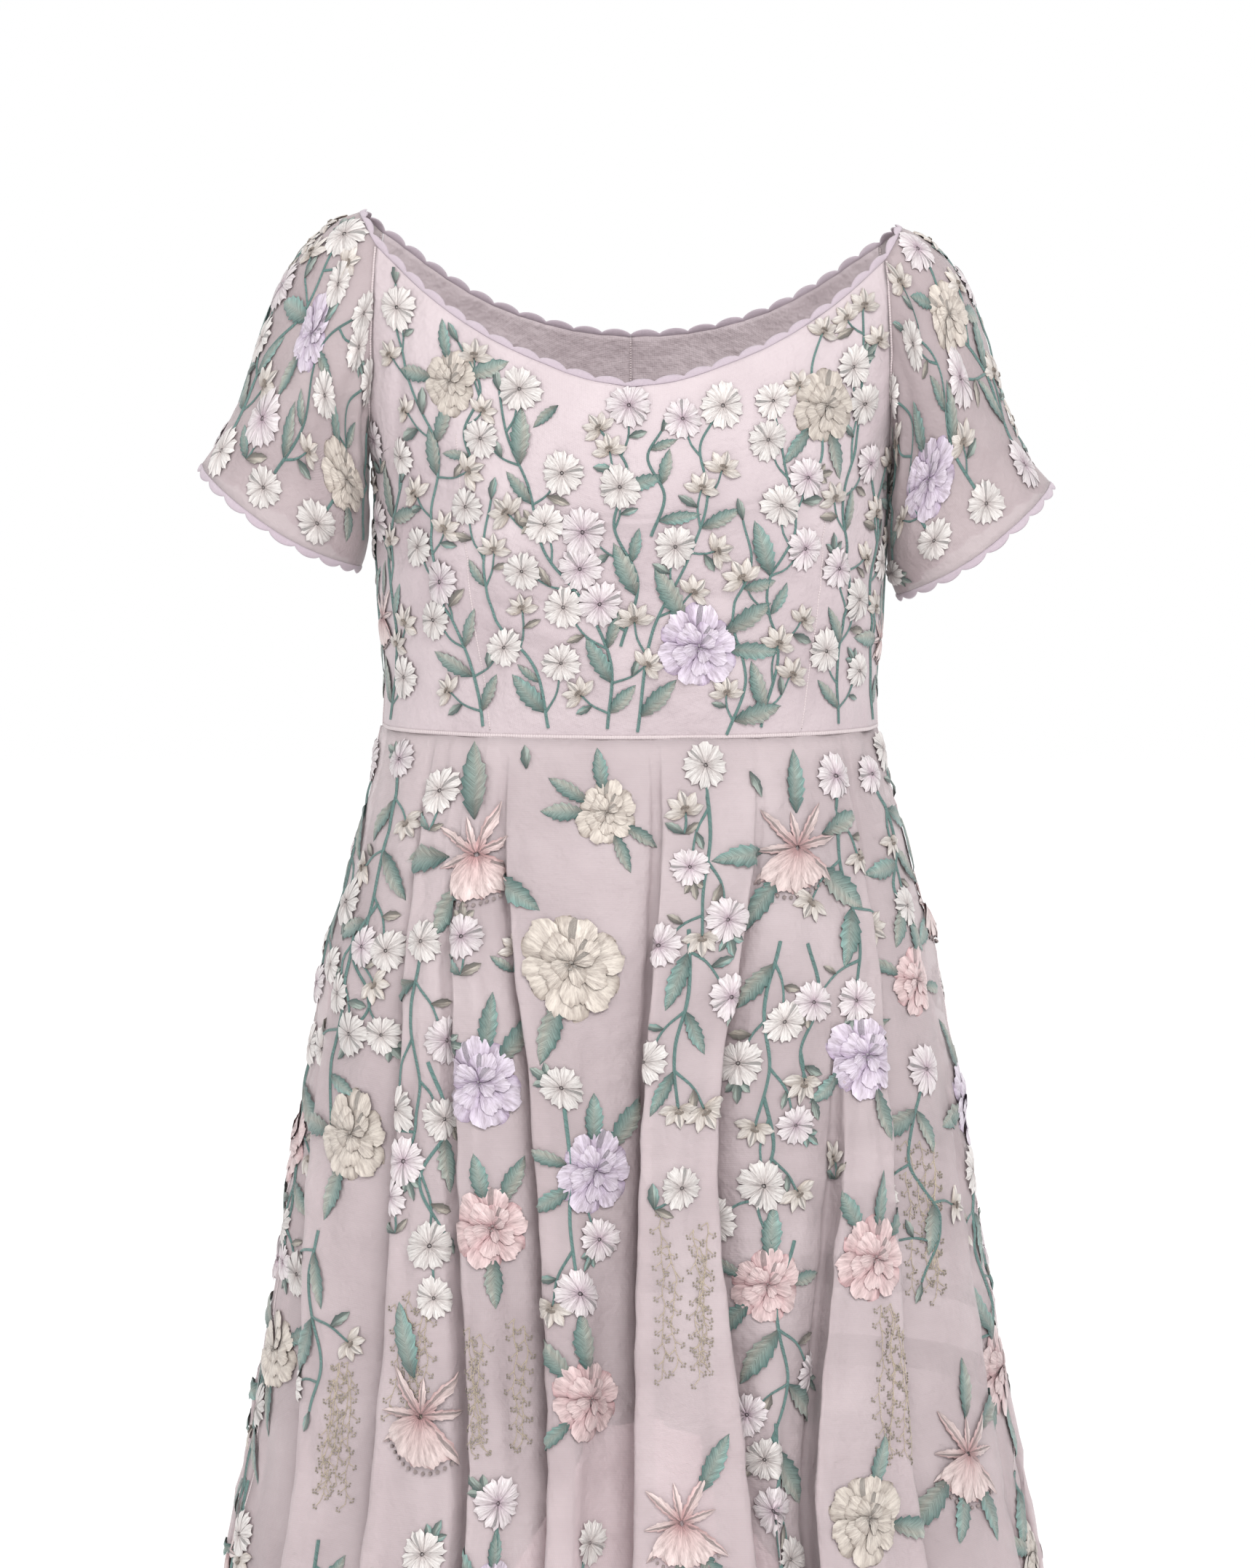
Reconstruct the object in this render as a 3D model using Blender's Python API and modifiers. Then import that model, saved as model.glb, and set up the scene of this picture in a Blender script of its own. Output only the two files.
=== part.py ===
"""High-low gown in its worn, hollow form: scoop-necked bodice, short flared sleeves,
and a pleated skirt over a lining, with scalloped edges at the neck and the sleeve hems.

Metres, +Z up. The front faces -Y and the wearer's left is at +X. The origin lies between
the shoulders, level with the top of the wearer's right shoulder, where the gown is held.
Heights are given as a drop below the origin. Angles run round the body from 0 at the
centre front, through +90 degrees at the wearer's left side, to 180 at the centre back.
"""

import math

import bmesh
import bpy
import numpy as np

# Cloth and seams
BODICE_WALL = 0.0016
SLEEVE_WALL = 0.0012
SKIRT_WALL = 0.0012
LINING_WALL = 0.0010
EDGING_WALL = 0.0016
SEAM_GAP = 0.0004

# Heights, as drops below the origin. The folds' angles are given at TOP_DROP, MID_DROP
# and LOW_DROP, and change no more below SETTLED_DROP.
UNDERARM_DROP = 0.150
WAIST_DROP = 0.318
TOP_DROP = 0.340
MID_DROP = 0.520
LOW_DROP = 0.780
SETTLED_DROP = 0.860
FRONT_HEM_DROP = 1.040
BACK_HEM_DROP = 1.400
HEM_SWEEP = 1.4

# The wearer's left shoulder is this much lower than the right one
SHOULDER_TILT = 0.010
SHOULDER_REACH = 0.1655

# Bodice sections: drop, half width, front depth, back depth
BODY_SECTIONS = (
    (0.000, 0.1800, 0.058, 0.075),
    (0.050, 0.1790, 0.085, 0.097),
    (0.100, 0.1720, 0.112, 0.108),
    (0.150, 0.1600, 0.126, 0.108),
    (0.200, 0.1565, 0.129, 0.104),
    (0.250, 0.1545, 0.121, 0.098),
    (0.290, 0.1515, 0.112, 0.093),
    (0.318, 0.1525, 0.108, 0.092),
)

# Skirt sections through the tops of the folds: drop, half width, front depth, back depth
SKIRT_SECTIONS = (
    (0.318, 0.1525, 0.108, 0.092),
    (0.345, 0.1580, 0.114, 0.098),
    (0.378, 0.1665, 0.121, 0.106),
    (0.414, 0.1750, 0.129, 0.117),
    (0.450, 0.1860, 0.139, 0.130),
    (0.500, 0.1960, 0.149, 0.145),
    (0.560, 0.2065, 0.160, 0.160),
    (0.650, 0.2220, 0.176, 0.184),
    (0.750, 0.2400, 0.192, 0.208),
    (0.835, 0.2560, 0.205, 0.226),
    (1.040, 0.2910, 0.232, 0.262),
    (1.400, 0.3450, 0.275, 0.315),
)

# Neckline, edge of the cloth: distance from the middle, drop at the front, drop at the back
NECKLINE = (
    (0.0000, 0.1077, 0.0780),
    (0.0300, 0.1025, 0.0760),
    (0.0530, 0.0945, 0.0715),
    (0.0960, 0.0740, 0.0560),
    (0.1250, 0.0536, 0.0385),
    (0.1420, 0.0385, 0.0260),
    (0.1535, 0.0275, 0.0180),
)

# Armhole seam: drop, distance from the middle at the front, and at the back
ARMHOLE = (
    (0.0180, 0.1520, 0.1535),
    (0.0275, 0.1535, 0.1545),
    (0.0450, 0.1552, 0.1560),
    (0.0700, 0.1565, 0.1575),
    (0.1000, 0.1572, 0.1582),
    (0.1250, 0.1582, 0.1588),
    (0.1500, 0.1600, 0.1600),
)

# Cloth round half of a bodice panel, which turns a length into a share of the panel
FRONT_ROUND = 0.24
BACK_ROUND = 0.17
# Columns of the front crowd towards its sides by this share of a quarter turn
FRONT_CROWDING = 0.86

# Sleeves: SHOULDER_TOP is the top of the seam (x, y, drop), SHOULDER_PART is the share
# of the seam from there to the neckline, and the hem ring lies at HEM_Y
SHOULDER_TOP = (0.1655, 0.004, 0.0066)
SHOULDER_PART = 0.12
HEM_Y = 0.008
HEM_HALF_DEPTH = 0.056
HEM_FRONT_SAG = 0.007
HEM_FLARE = 0.16
SLEEVE_FOLD = 0.0032
SLEEVE_FOLDS = 4.0
SLEEVE_FOLD_TWIST = 0.9
# side (+1 is the wearer's left), hem outer x, hem outer drop, hem inner x, hem inner drop
SLEEVES = {
    "left": (+1, 0.2590, 0.1640, 0.1640, 0.2360),
    "right": (-1, 0.2650, 0.1605, 0.1665, 0.2215),
}

# Skirt folds, round from the back: a row for each valley. The angles are at the top,
# at MID_DROP and at LOW_DROP; depth is the valley's depth at LOW_DROP; over is +1 where
# the cloth after the valley laps over it, -1 where the cloth before does; start is the
# drop below the waist where the fold opens; before and after are how far the cloth
# beside the valley stands proud of the skirt section; reach scales the width of the
# slope that leads down into the valley.
FOLDS = (
    # top, mid, low, depth, over, start, before, after, reach
    (-168.0, -168.0, -168.0, 0.034, +1, 0.010, -0.004, 0.006, 1.0),
    (-147.0, -147.0, -146.0, 0.042, +1, 0.040, 0.002, 0.008, 1.0),
    (-124.0, -123.0, -122.0, 0.030, -1, 0.000, 0.006, -0.004, 1.0),
    (-101.0, -100.0, -98.0, 0.036, -1, 0.120, 0.004, -0.008, 1.0),
    (-78.0, -75.5, -58.0, 0.041, +1, 0.150, -0.010, 0.004, 1.0),
    (-54.0, -46.0, -40.5, 0.038, +1, 0.000, -0.004, 0.010, 1.0),
    (-41.5, -34.0, -25.0, 0.010, +1, 0.030, 0.010, 0.008, 0.4),
    (-31.0, -20.0, -13.0, 0.038, +1, 0.010, -0.004, 0.008, 0.7),
    (3.8, 0.0, -1.0, 0.044, +1, 0.000, -0.012, 0.012, 0.6),
    (31.0, 17.6, 18.0, 0.042, -1, 0.020, 0.012, -0.008, 0.45),
    (42.0, 37.0, 24.7, 0.034, +1, 0.170, -0.010, 0.008, 0.50),
    (60.0, 53.0, 45.6, 0.026, -1, 0.000, 0.008, -0.004, 1.0),
    (80.0, 76.5, 70.5, 0.034, -1, 0.220, 0.002, -0.010, 1.0),
    (102.0, 100.0, 97.0, 0.036, +1, 0.090, -0.006, 0.006, 1.0),
    (124.0, 122.0, 121.0, 0.030, -1, 0.000, 0.008, 0.000, 1.0),
    (147.0, 145.0, 145.0, 0.040, -1, 0.050, 0.006, -0.004, 1.0),
    (168.0, 168.0, 168.0, 0.034, -1, 0.010, 0.006, -0.002, 1.0),
)
RIDGE_CROWN = 0.003
SEAM_SHARE = 0.42
# A fold opens to FOLD_LIMIT times its depth, and nears it over FOLD_SETTLE of its way
FOLD_LIMIT = 1.5
FOLD_SETTLE = 1.1

# Section of one valley: side shift, side shift per depth, depth share, share of the
# height of the lower neighbour, share of the height of the overlapping one
SKIRT_PROFILE = (
    (-0.0100, -0.42, 0.000, 1.0, 0.0),
    (-0.0035, -0.05, 0.160, 1.0, 0.0),
    (0.0003, 0.20, 0.620, 0.0, 0.0),
    (0.0012, 0.31, 0.930, 0.0, 0.0),
    (0.0042, 0.37, 0.955, 0.0, 0.0),
    (0.0062, 0.34, 0.600, 0.0, 0.0),
    (0.0077, 0.13, 0.260, 0.0, 1.0),
    (0.0104, -0.13, 0.100, 0.0, 1.0),
    (0.0130, -0.13, 0.015, 0.0, 1.0),
    (0.0172, 0.12, 0.000, 0.0, 1.0),
)
LINING_PROFILE = (
    (-0.0100, -0.42, 0.000, 1.0, 0.0),
    (-0.0020, 0.08, 0.660, 0.0, 0.0),
    (0.0030, 0.36, 1.000, 0.0, 0.0),
    (0.0090, 0.48, 0.620, 0.0, 0.0),
    (0.0140, 0.34, 0.160, 0.0, 1.0),
)
LINING_INSET_TOP = 0.0026
LINING_INSET = 0.0076
LINING_REACH = 0.130

# Lining hem: length of cloth round from the centre front at LOW_DROP, drop of the hem
LINING_HEM = (
    (-1.500, 1.220),
    (-0.650, 1.060),
    (-0.300, 0.930),
    (-0.130, 0.810),
    (-0.055, 0.728),
    (0.000, 0.724),
    (0.085, 0.726),
    (0.185, 0.808),
    (0.350, 0.930),
    (0.700, 1.060),
    (1.500, 1.220),
)

# Rows from the waist to the hem, as shares of the way down
SKIRT_ROWS = (0.0, 0.035, 0.09, 0.16, 0.25, 0.36, 0.48, 0.63, 0.81, 1.0)
LINING_ROWS = (0.0, 0.08, 0.20, 0.38, 0.58, 0.79, 1.0)

# Scalloped edging
SCALLOP_PITCH = 0.0185
EDGING_GAP = 0.0008
EDGING_BAND = 0.0014
SCALLOP_DEPTH = 0.0026
POINTS_PER_SCALLOP = 3
NECK_STEP = 0.003

# Finishes: colour, roughness, metallic
FINISHES = {
    "organza": ((0.72, 0.59, 0.60, 1.0), 0.55, 0.0),
    "lining": ((0.80, 0.60, 0.61, 1.0), 0.60, 0.0),
    "edging": ((0.82, 0.68, 0.76, 1.0), 0.45, 0.0),
}


def clear_scene():
    for item in list(bpy.data.objects):
        bpy.data.objects.remove(item, do_unlink=True)


def finish(name, node):
    """A material of the piece's own, from the named finish."""
    colour, roughness, metallic = FINISHES[name]
    material = bpy.data.materials.new(f"{node}_{name}")
    material.use_nodes = True
    shader = material.node_tree.nodes["Principled BSDF"]
    shader.inputs["Base Color"].default_value = colour
    shader.inputs["Roughness"].default_value = roughness
    shader.inputs["Metallic"].default_value = metallic
    return material


def read_table(rows, at):
    """Smooth curve through a table: the first column is the place, the others the values."""
    table = np.array(rows, dtype=float)
    place = table[:, 0]
    values = table[:, 1:]
    slopes = np.gradient(values, place, axis=0)
    at = np.clip(np.asarray(at, dtype=float), place[0], place[-1])
    low = np.clip(np.searchsorted(place, at) - 1, 0, len(place) - 2)
    span = (place[low + 1] - place[low])[..., None]
    t = (at - place[low])[..., None] / span
    start = (2 * t**3 - 3 * t**2 + 1) * values[low] + (t**3 - 2 * t**2 + t) * span * slopes[low]
    end = (3 * t**2 - 2 * t**3) * values[low + 1] + (t**3 - t**2) * span * slopes[low + 1]
    return np.moveaxis(start + end, -1, 0)


def oval(sections, angle, drop, proud=0.0):
    """Points round a section of the body, moved out by proud."""
    half, front, back = read_table(sections, drop)
    depth = np.where(np.cos(angle) > 0.0, front, back)
    x = half * np.sin(angle)
    y = -depth * np.cos(angle)
    speed = np.hypot(half * np.cos(angle), depth * np.sin(angle))
    out_x = depth * np.sin(angle) / speed
    out_y = -half * np.cos(angle) / speed
    return np.stack([x + proud * out_x, y + proud * out_y, -drop + 0.0 * x], axis=-1)


def section_speed(sections, angle, drop):
    """Length along a section for each radian."""
    half, front, back = read_table(sections, drop)
    depth = np.where(np.cos(angle) > 0.0, front, back)
    return np.hypot(half * np.cos(angle), depth * np.sin(angle))


def tilt_shoulders(points):
    """Lowers the wearer's left shoulder and raises the right one, less towards the waist."""
    points = points.copy()
    height = np.clip((points[..., 2] + WAIST_DROP) / WAIST_DROP, 0.0, 1.2)
    points[..., 2] -= 0.5 * SHOULDER_TILT * height * points[..., 0] / SHOULDER_REACH
    return points


def add_cloth(node, collection, points, wall, finish_name, closed=False):
    """Lofts a grid of points [row, column] into a sheet and gives it a wall inwards."""
    rows, columns = points.shape[:2]
    mesh = bpy.data.meshes.new(node)
    sheet = bmesh.new()
    verts = [[sheet.verts.new(tuple(float(c) for c in p)) for p in row] for row in points]
    last = columns if closed else columns - 1
    for r in range(rows - 1):
        for c in range(last):
            d = (c + 1) % columns
            sheet.faces.new((verts[r][c], verts[r + 1][c], verts[r + 1][d], verts[r][d]))
    sheet.to_mesh(mesh)
    sheet.free()
    mesh.shade_smooth()
    item = bpy.data.objects.new(node, mesh)
    item.data.materials.append(finish(finish_name, node))
    collection.objects.link(item)
    solidify = item.modifiers.new("Wall", "SOLIDIFY")
    solidify.thickness = wall
    solidify.offset = -1.0
    return item


def edge_angle(drop, back):
    """Angle of the side seam, and above it of the armhole seam, at a drop."""
    half = read_table(BODY_SECTIONS, drop)[0]
    reach = read_table(ARMHOLE, drop)[1 if back else 0]
    at_armhole = np.arcsin(np.clip(reach / half, -1.0, 1.0))
    return np.where(drop >= UNDERARM_DROP, math.pi / 2, at_armhole)


def neck_drop(across, back):
    """Drop of the neckline above a share of the panel's width, found by repetition."""
    drop = np.full(np.shape(across), 0.06)
    for _ in range(40):
        half = read_table(BODY_SECTIONS, drop)[0]
        reach = half * np.sin(np.abs(across) * edge_angle(drop, back))
        drop = read_table(NECKLINE, reach)[1 if back else 0]
    return drop


def bodice_points(across, up, back):
    """A bodice panel: across runs from 0 at the middle to 1 at the side, up from 0 at the waist."""
    top = neck_drop(across, back)
    foot = WAIST_DROP - SEAM_GAP / 2
    drop = foot + up * (top - foot)
    angle = across * edge_angle(drop, back)
    if back:
        angle = math.pi - angle
    return oval(BODY_SECTIONS, angle, drop)


def bodice_rows(count):
    """Shares of the way up, with a row at the underarm on the panel's edge."""
    underarm = (WAIST_DROP - UNDERARM_DROP) / (WAIST_DROP - NECKLINE[-1][1])
    lower = np.linspace(0.0, underarm, count)
    upper = np.linspace(underarm, 1.0, count)[1:]
    return np.concatenate([lower, upper])


def make_bodice(collection):
    up = bodice_rows(6)
    edge = 1.0 - SEAM_GAP / 2 / FRONT_ROUND
    crowding = math.pi / 2 * FRONT_CROWDING
    across = np.sin(np.linspace(-1.0, 1.0, 25) * crowding) / math.sin(crowding)
    grid = np.meshgrid(across * edge, up[::-1])
    front = tilt_shoulders(bodice_points(grid[0], grid[1], back=False))
    add_cloth("bodice_front", collection, front, BODICE_WALL, "organza")
    half = np.linspace(SEAM_GAP / 2 / BACK_ROUND, edge, 11)
    for side in ("left", "right"):
        share = half[::-1] if side == "left" else -half
        grid = np.meshgrid(share, up[::-1])
        back = tilt_shoulders(bodice_points(grid[0], grid[1], back=True))
        add_cloth(f"bodice_back_{side}", collection, back, BODICE_WALL, "organza")


def sleeve_root(turn):
    """Seam of a sleeve on the wearer's left: over the shoulder, down the front armhole to
    the underarm at half a turn, and up the back armhole."""
    turn = np.mod(np.asarray(turn, dtype=float) + 0.5, 1.0) - 0.5
    back = turn < 0.0
    share = np.clip((np.abs(turn) - SHOULDER_PART) / (0.5 - SHOULDER_PART), 0.0, 1.0)
    corner = np.where(back, NECKLINE[-1][2], NECKLINE[-1][1])
    drop = corner + (UNDERARM_DROP - corner) * share
    reach = np.where(back, read_table(ARMHOLE, drop)[1], read_table(ARMHOLE, drop)[0])
    half = read_table(BODY_SECTIONS, drop)[0]
    angle = np.arcsin(np.clip(reach / half, -1.0, 1.0))
    angle = np.where(back, math.pi - angle, angle)
    root = oval(BODY_SECTIONS, angle, drop)
    arc = np.clip(np.abs(turn) / SHOULDER_PART, 0.0, 1.0) * math.pi / 2
    over = np.cos(arc)
    root[..., 0] += over * (SHOULDER_TOP[0] - root[..., 0])
    root[..., 1] = SHOULDER_TOP[1] + (root[..., 1] - SHOULDER_TOP[1]) * np.sin(arc)
    root[..., 2] += over * (-SHOULDER_TOP[2] - root[..., 2])
    root[..., 0] += SEAM_GAP
    return root


def sleeve_way(turn):
    """The way the cloth of a sleeve on the wearer's left leaves its root."""
    c = np.cos(2 * math.pi * turn)
    s = np.sin(2 * math.pi * turn)
    return np.stack([0.58 + 0.37 * c, -0.38 * s, -0.62 + 0.34 * c], axis=-1)


def sleeve_hem(turn, outer_x, outer_drop, inner_x, inner_drop):
    """Hem ring of a sleeve on the wearer's left, and the way the cloth points there."""
    middle = np.array([(outer_x + inner_x) / 2, HEM_Y, -(outer_drop + inner_drop) / 2])
    reach = np.array([(outer_x - inner_x) / 2, 0.0, (inner_drop - outer_drop) / 2])
    length = math.hypot(reach[0], reach[2])
    axis = np.array([reach[2], 0.0, -reach[0]]) / length
    c = np.cos(2 * math.pi * turn)[..., None]
    s = np.sin(2 * math.pi * turn)[..., None]
    ring = middle + c * reach + s * np.array([0.0, -HEM_HALF_DEPTH, 0.0])
    ring = ring + HEM_FRONT_SAG * np.maximum(s, 0.0) ** 2 * axis
    flare = HEM_FLARE * (c * reach / length + s * np.array([0.0, -1.0, 0.0]))
    return ring, axis + flare


def sleeve_points(side, turn, along):
    """Points of a sleeve: turn goes round from the shoulder by the front, along goes from
    the armhole to the hem."""
    sign, outer_x, outer_drop, inner_x, inner_drop = SLEEVES[side]
    root = sleeve_root(turn)
    hem, hem_way = sleeve_hem(turn, outer_x, outer_drop, inner_x, inner_drop)
    chord = np.linalg.norm(hem - root, axis=-1)[..., None]
    c = np.cos(2 * math.pi * turn)
    s = np.sin(2 * math.pi * turn)
    t = along[..., None]
    points = (2 * t**3 - 3 * t**2 + 1) * root + (t**3 - 2 * t**2 + t) * chord * sleeve_way(turn)
    points = points + (3 * t**2 - 2 * t**3) * hem + (t**3 - t**2) * chord * hem_way
    fold = np.sin(2 * math.pi * (SLEEVE_FOLDS * turn + SLEEVE_FOLD_TWIST * along))
    size = SLEEVE_FOLD * fold * np.maximum(np.abs(s), 0.2) * np.sin(0.92 * math.pi * along) ** 0.8
    points[..., 0] += size * (0.3 + 0.5 * c)
    points[..., 1] -= size * s
    points[..., 0] *= sign
    return points


def sleeve_turns():
    """Columns round a sleeve, with one at each corner of the shoulder part."""
    part = SHOULDER_PART
    top = np.linspace(-part, part, 7)
    front = np.linspace(part, 0.5, 11)[1:]
    back = np.linspace(-0.5, -part, 11)[1:-1]
    return np.concatenate([top, front, back])


def make_sleeves(collection):
    along = np.linspace(0.0, 1.0, 8)
    for side, row in SLEEVES.items():
        turns = sleeve_turns()
        if row[0] > 0:
            turns = turns[::-1]
        grid = np.meshgrid(turns, along)
        points = tilt_shoulders(sleeve_points(side, grid[0], grid[1]))
        add_cloth(f"sleeve_{side}", collection, points, SLEEVE_WALL, "organza", closed=True)


def fold_growth(drop, start):
    """How far a fold has opened at a drop: 0 at its start, near 1 at LOW_DROP."""
    way = (drop - WAIST_DROP - start) / (LOW_DROP - WAIST_DROP - start)
    return FOLD_LIMIT * (1.0 - np.exp(-np.maximum(way, 0.0) / FOLD_SETTLE))


def fold_angle(fold, drop):
    """Angle of a valley at a drop."""
    stations = (WAIST_DROP, TOP_DROP, MID_DROP, LOW_DROP, SETTLED_DROP, BACK_HEM_DROP)
    angles = (fold[0], fold[0], fold[1], fold[2], fold[2], fold[2])
    rows = [(s, math.radians(a)) for s, a in zip(stations, angles)]
    return read_table(rows, drop)[0]


def valley_columns(fold, profile):
    """The profile's rows in the order of their angle."""
    return profile if fold[4] > 0 else profile[::-1]


def place_valley(fold, row, drop):
    """Angle and height of one profile row of a valley at a drop."""
    shift, shift_share, depth_share, far_share, near_share = row
    top, mid, low, deep, over, start, before, after, reach = fold
    growth = fold_growth(drop, start)
    depth = deep * growth
    far, near = (before, after) if over > 0 else (after, before)
    angle = fold_angle(fold, drop)
    aside = over * (shift + shift_share * depth) * (reach if far_share else 1.0)
    height = growth * (far_share * far + near_share * near) - depth_share * depth
    return angle + aside / section_speed(SKIRT_SECTIONS, angle, drop), height


def column_plan(profile, seams, ridge_shares):
    """Columns round the skirt from the centre back: (valley, profile row, ridge share,
    seam side). A panel ends at each seam, whose ridge is numbered by the valley before
    it, and has a column just inside the seam, which keeps the two walls parallel."""
    back = len(FOLDS) - 1
    panels = [[(back, None, 0.5, +1), (back, None, 1.0 - SEAM_SHARE, 0)]]
    for k, fold in enumerate(FOLDS):
        panels[-1] += [(k, row, None, 0) for row in valley_columns(fold, profile)]
        if k in seams or k == back:
            panels[-1] += [(k, None, SEAM_SHARE, 0), (k, None, 0.5, -1)]
            panels.append([(k, None, 0.5, +1), (k, None, 1.0 - SEAM_SHARE, 0)])
        else:
            panels[-1] += [(k, None, s, 0) for s in ridge_shares]
    return panels[:-1]


def skirt_column(column, profile, drop):
    """Points of one column at the given drops: in a valley, or on the ridge after it."""
    k, row, share, gap = column
    fold = FOLDS[k]
    if row is not None:
        return place_valley(fold, row, drop)
    following = FOLDS[(k + 1) % len(FOLDS)]
    angle_a, height_a = place_valley(fold, valley_columns(fold, profile)[-1], drop)
    angle_b, height_b = place_valley(following, valley_columns(following, profile)[0], drop)
    if k == len(FOLDS) - 1:
        angle_b = angle_b + 2 * math.pi
    angle = angle_a + share * (angle_b - angle_a)
    angle = angle + gap * SEAM_GAP / 2 / section_speed(SKIRT_SECTIONS, angle, drop)
    growth = fold_growth(drop, 0.0)
    crown = RIDGE_CROWN * 4 * share * (1 - share) * growth
    return angle, height_a + share * (height_b - height_a) + crown


def skirt_points(columns, profile, drops, inset=0.0):
    """Grid of points [row, column] from the columns and their drops [row, column]."""
    points = np.zeros(drops.shape + (3,))
    for c, column in enumerate(columns):
        angle, height = skirt_column(column, profile, drops[:, c])
        hide = inset[:, c] if np.ndim(inset) else inset
        points[:, c] = oval(SKIRT_SECTIONS, angle, drops[:, c], height - hide)
    return points


def hem_drop(angle):
    """The hem sweeps from the knee at the front down to the ankle at the back."""
    back_share = ((1.0 - np.cos(angle)) / 2) ** HEM_SWEEP
    return FRONT_HEM_DROP + (BACK_HEM_DROP - FRONT_HEM_DROP) * back_share


def side_seams():
    """Ridges that hold the side seams: after the last valley before each side."""
    lows = [fold[2] for fold in FOLDS]
    return (lows.index(-98.0), lows.index(70.5))


PANEL_NAMES = ("back_right", "front", "back_left")


def make_skirt(collection):
    top = WAIST_DROP + SEAM_GAP / 2
    rows = np.array(SKIRT_ROWS)
    for name, columns in zip(PANEL_NAMES, column_plan(SKIRT_PROFILE, side_seams(), (0.33, 0.67))):
        low = np.full(1, LOW_DROP)
        angles = np.array([skirt_column(c, SKIRT_PROFILE, low)[0][0] for c in columns])
        drops = top + rows[:, None] * (hem_drop(angles)[None, :] - top)
        points = skirt_points(columns, SKIRT_PROFILE, drops)
        add_cloth(f"skirt_{name}", collection, points, SKIRT_WALL, "organza")


def cloth_lengths(panels):
    """Length of cloth round from the centre front at LOW_DROP, for each panel's columns."""
    rings = [skirt_points(p, LINING_PROFILE, np.full((1, len(p)), LOW_DROP))[0] for p in panels]
    ring = np.concatenate(rings)
    steps = np.linalg.norm(np.diff(ring, axis=0), axis=1)
    length = np.concatenate([[0.0], np.cumsum(steps)])
    front = np.where(ring[:, 1] < 0.0, np.abs(ring[:, 0]), 9.0)
    length = length - length[np.argmin(front)]
    ends = np.cumsum([len(p) for p in panels])[:-1]
    return np.split(length, ends)


def make_lining(collection):
    top = WAIST_DROP + SEAM_GAP / 2
    rows = np.array(LINING_ROWS)
    panels = column_plan(LINING_PROFILE, side_seams(), (0.5,))
    for name, columns, length in zip(PANEL_NAMES, panels, cloth_lengths(panels)):
        hem = read_table(LINING_HEM, length)[0]
        drops = top + rows[:, None] * (hem[None, :] - top)
        depth = np.clip((drops - WAIST_DROP) / LINING_REACH, 0.0, 1.0)
        inset = LINING_INSET_TOP + (LINING_INSET - LINING_INSET_TOP) * depth
        points = skirt_points(columns, LINING_PROFILE, drops, inset)
        add_cloth(f"lining_{name}", collection, points, LINING_WALL, "lining")


def even_path(points, others, pitch_count, per_pitch):
    """Evenly spaced points of a path, what goes with them, and each one's scallop phase."""
    steps = np.linalg.norm(np.diff(points, axis=0), axis=1)
    length = np.concatenate([[0.0], np.cumsum(steps)])
    wanted = np.linspace(0.0, length[-1], pitch_count * per_pitch + 1)
    path = np.stack([np.interp(wanted, length, points[:, i]) for i in range(3)], axis=1)
    other = np.stack([np.interp(wanted, length, others[:, i]) for i in range(3)], axis=1)
    phase = np.arange(len(wanted)) / per_pitch
    return path, other, phase


def scallop_strip(path, outward, phase):
    """Two rows: a smooth edge beside the cloth, and a scalloped one away from it."""
    scallop = np.abs(np.sin(math.pi * phase)) ** 0.7
    far = EDGING_GAP + EDGING_BAND + SCALLOP_DEPTH * scallop
    near = path + EDGING_GAP * outward
    return np.stack([path + far[:, None] * outward, near])


def neck_path(count):
    """Neckline from the centre back, round the wearer's right, the front and the left,
    and the points a little way into the cloth beside it."""
    share = np.linspace(SEAM_GAP / 2 / BACK_ROUND, 1.0, count)
    turns = np.linspace(-SHOULDER_PART, SHOULDER_PART, count // 2)[1:-1]
    sides = []
    for inward in (0.0, NECK_STEP):
        up = np.full(count, 1.0 - inward / (WAIST_DROP - NECKLINE[0][1]))
        back = bodice_points(share, up, back=True)
        over = sleeve_root(turns) + inward * sleeve_way(turns)
        front = bodice_points(share[::-1], up, back=False)
        half = np.concatenate([back, over, front[:-1]])
        other = half * np.array([-1.0, 1.0, 1.0])
        sides.append(np.concatenate([other, front[-1:], half[::-1]]))
    return tilt_shoulders(sides[0]), tilt_shoulders(sides[1])


def square_to(direction, path):
    """The direction with its part along the path taken out, at unit length."""
    along = np.gradient(path, axis=0)
    along /= np.linalg.norm(along, axis=1)[:, None]
    square = direction - np.sum(direction * along, axis=1)[:, None] * along
    return square / np.linalg.norm(square, axis=1)[:, None]


def make_edgings(collection):
    path, inner = neck_path(60)
    length = np.sum(np.linalg.norm(np.diff(path, axis=0), axis=1))
    count = round(length / SCALLOP_PITCH)
    path, inner, phase = even_path(path, inner, count, POINTS_PER_SCALLOP)
    strip = scallop_strip(path, square_to(path - inner, path), phase)
    add_cloth("neckline_edging", collection, strip, EDGING_WALL, "edging")
    for side, row in SLEEVES.items():
        turns = np.linspace(0.0, 1.0, 121)
        if row[0] > 0:
            turns = turns[::-1]
        hem = tilt_shoulders(sleeve_points(side, turns, np.ones_like(turns)))
        inner = tilt_shoulders(sleeve_points(side, turns, np.full_like(turns, 0.97)))
        length = np.sum(np.linalg.norm(np.diff(hem, axis=0), axis=1))
        count = round(length / SCALLOP_PITCH)
        path, inner, phase = even_path(hem, inner, count, POINTS_PER_SCALLOP)
        strip = scallop_strip(path, square_to(path - inner, path), phase)[:, :-1]
        name = f"sleeve_edging_{side}"
        add_cloth(name, collection, strip[::-1], EDGING_WALL, "edging", closed=True)


def main():
    clear_scene()
    collection = bpy.data.collections.new("high_low_gown")
    bpy.context.scene.collection.children.link(collection)
    make_bodice(collection)
    make_sleeves(collection)
    make_skirt(collection)
    make_lining(collection)
    make_edgings(collection)


main()
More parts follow.
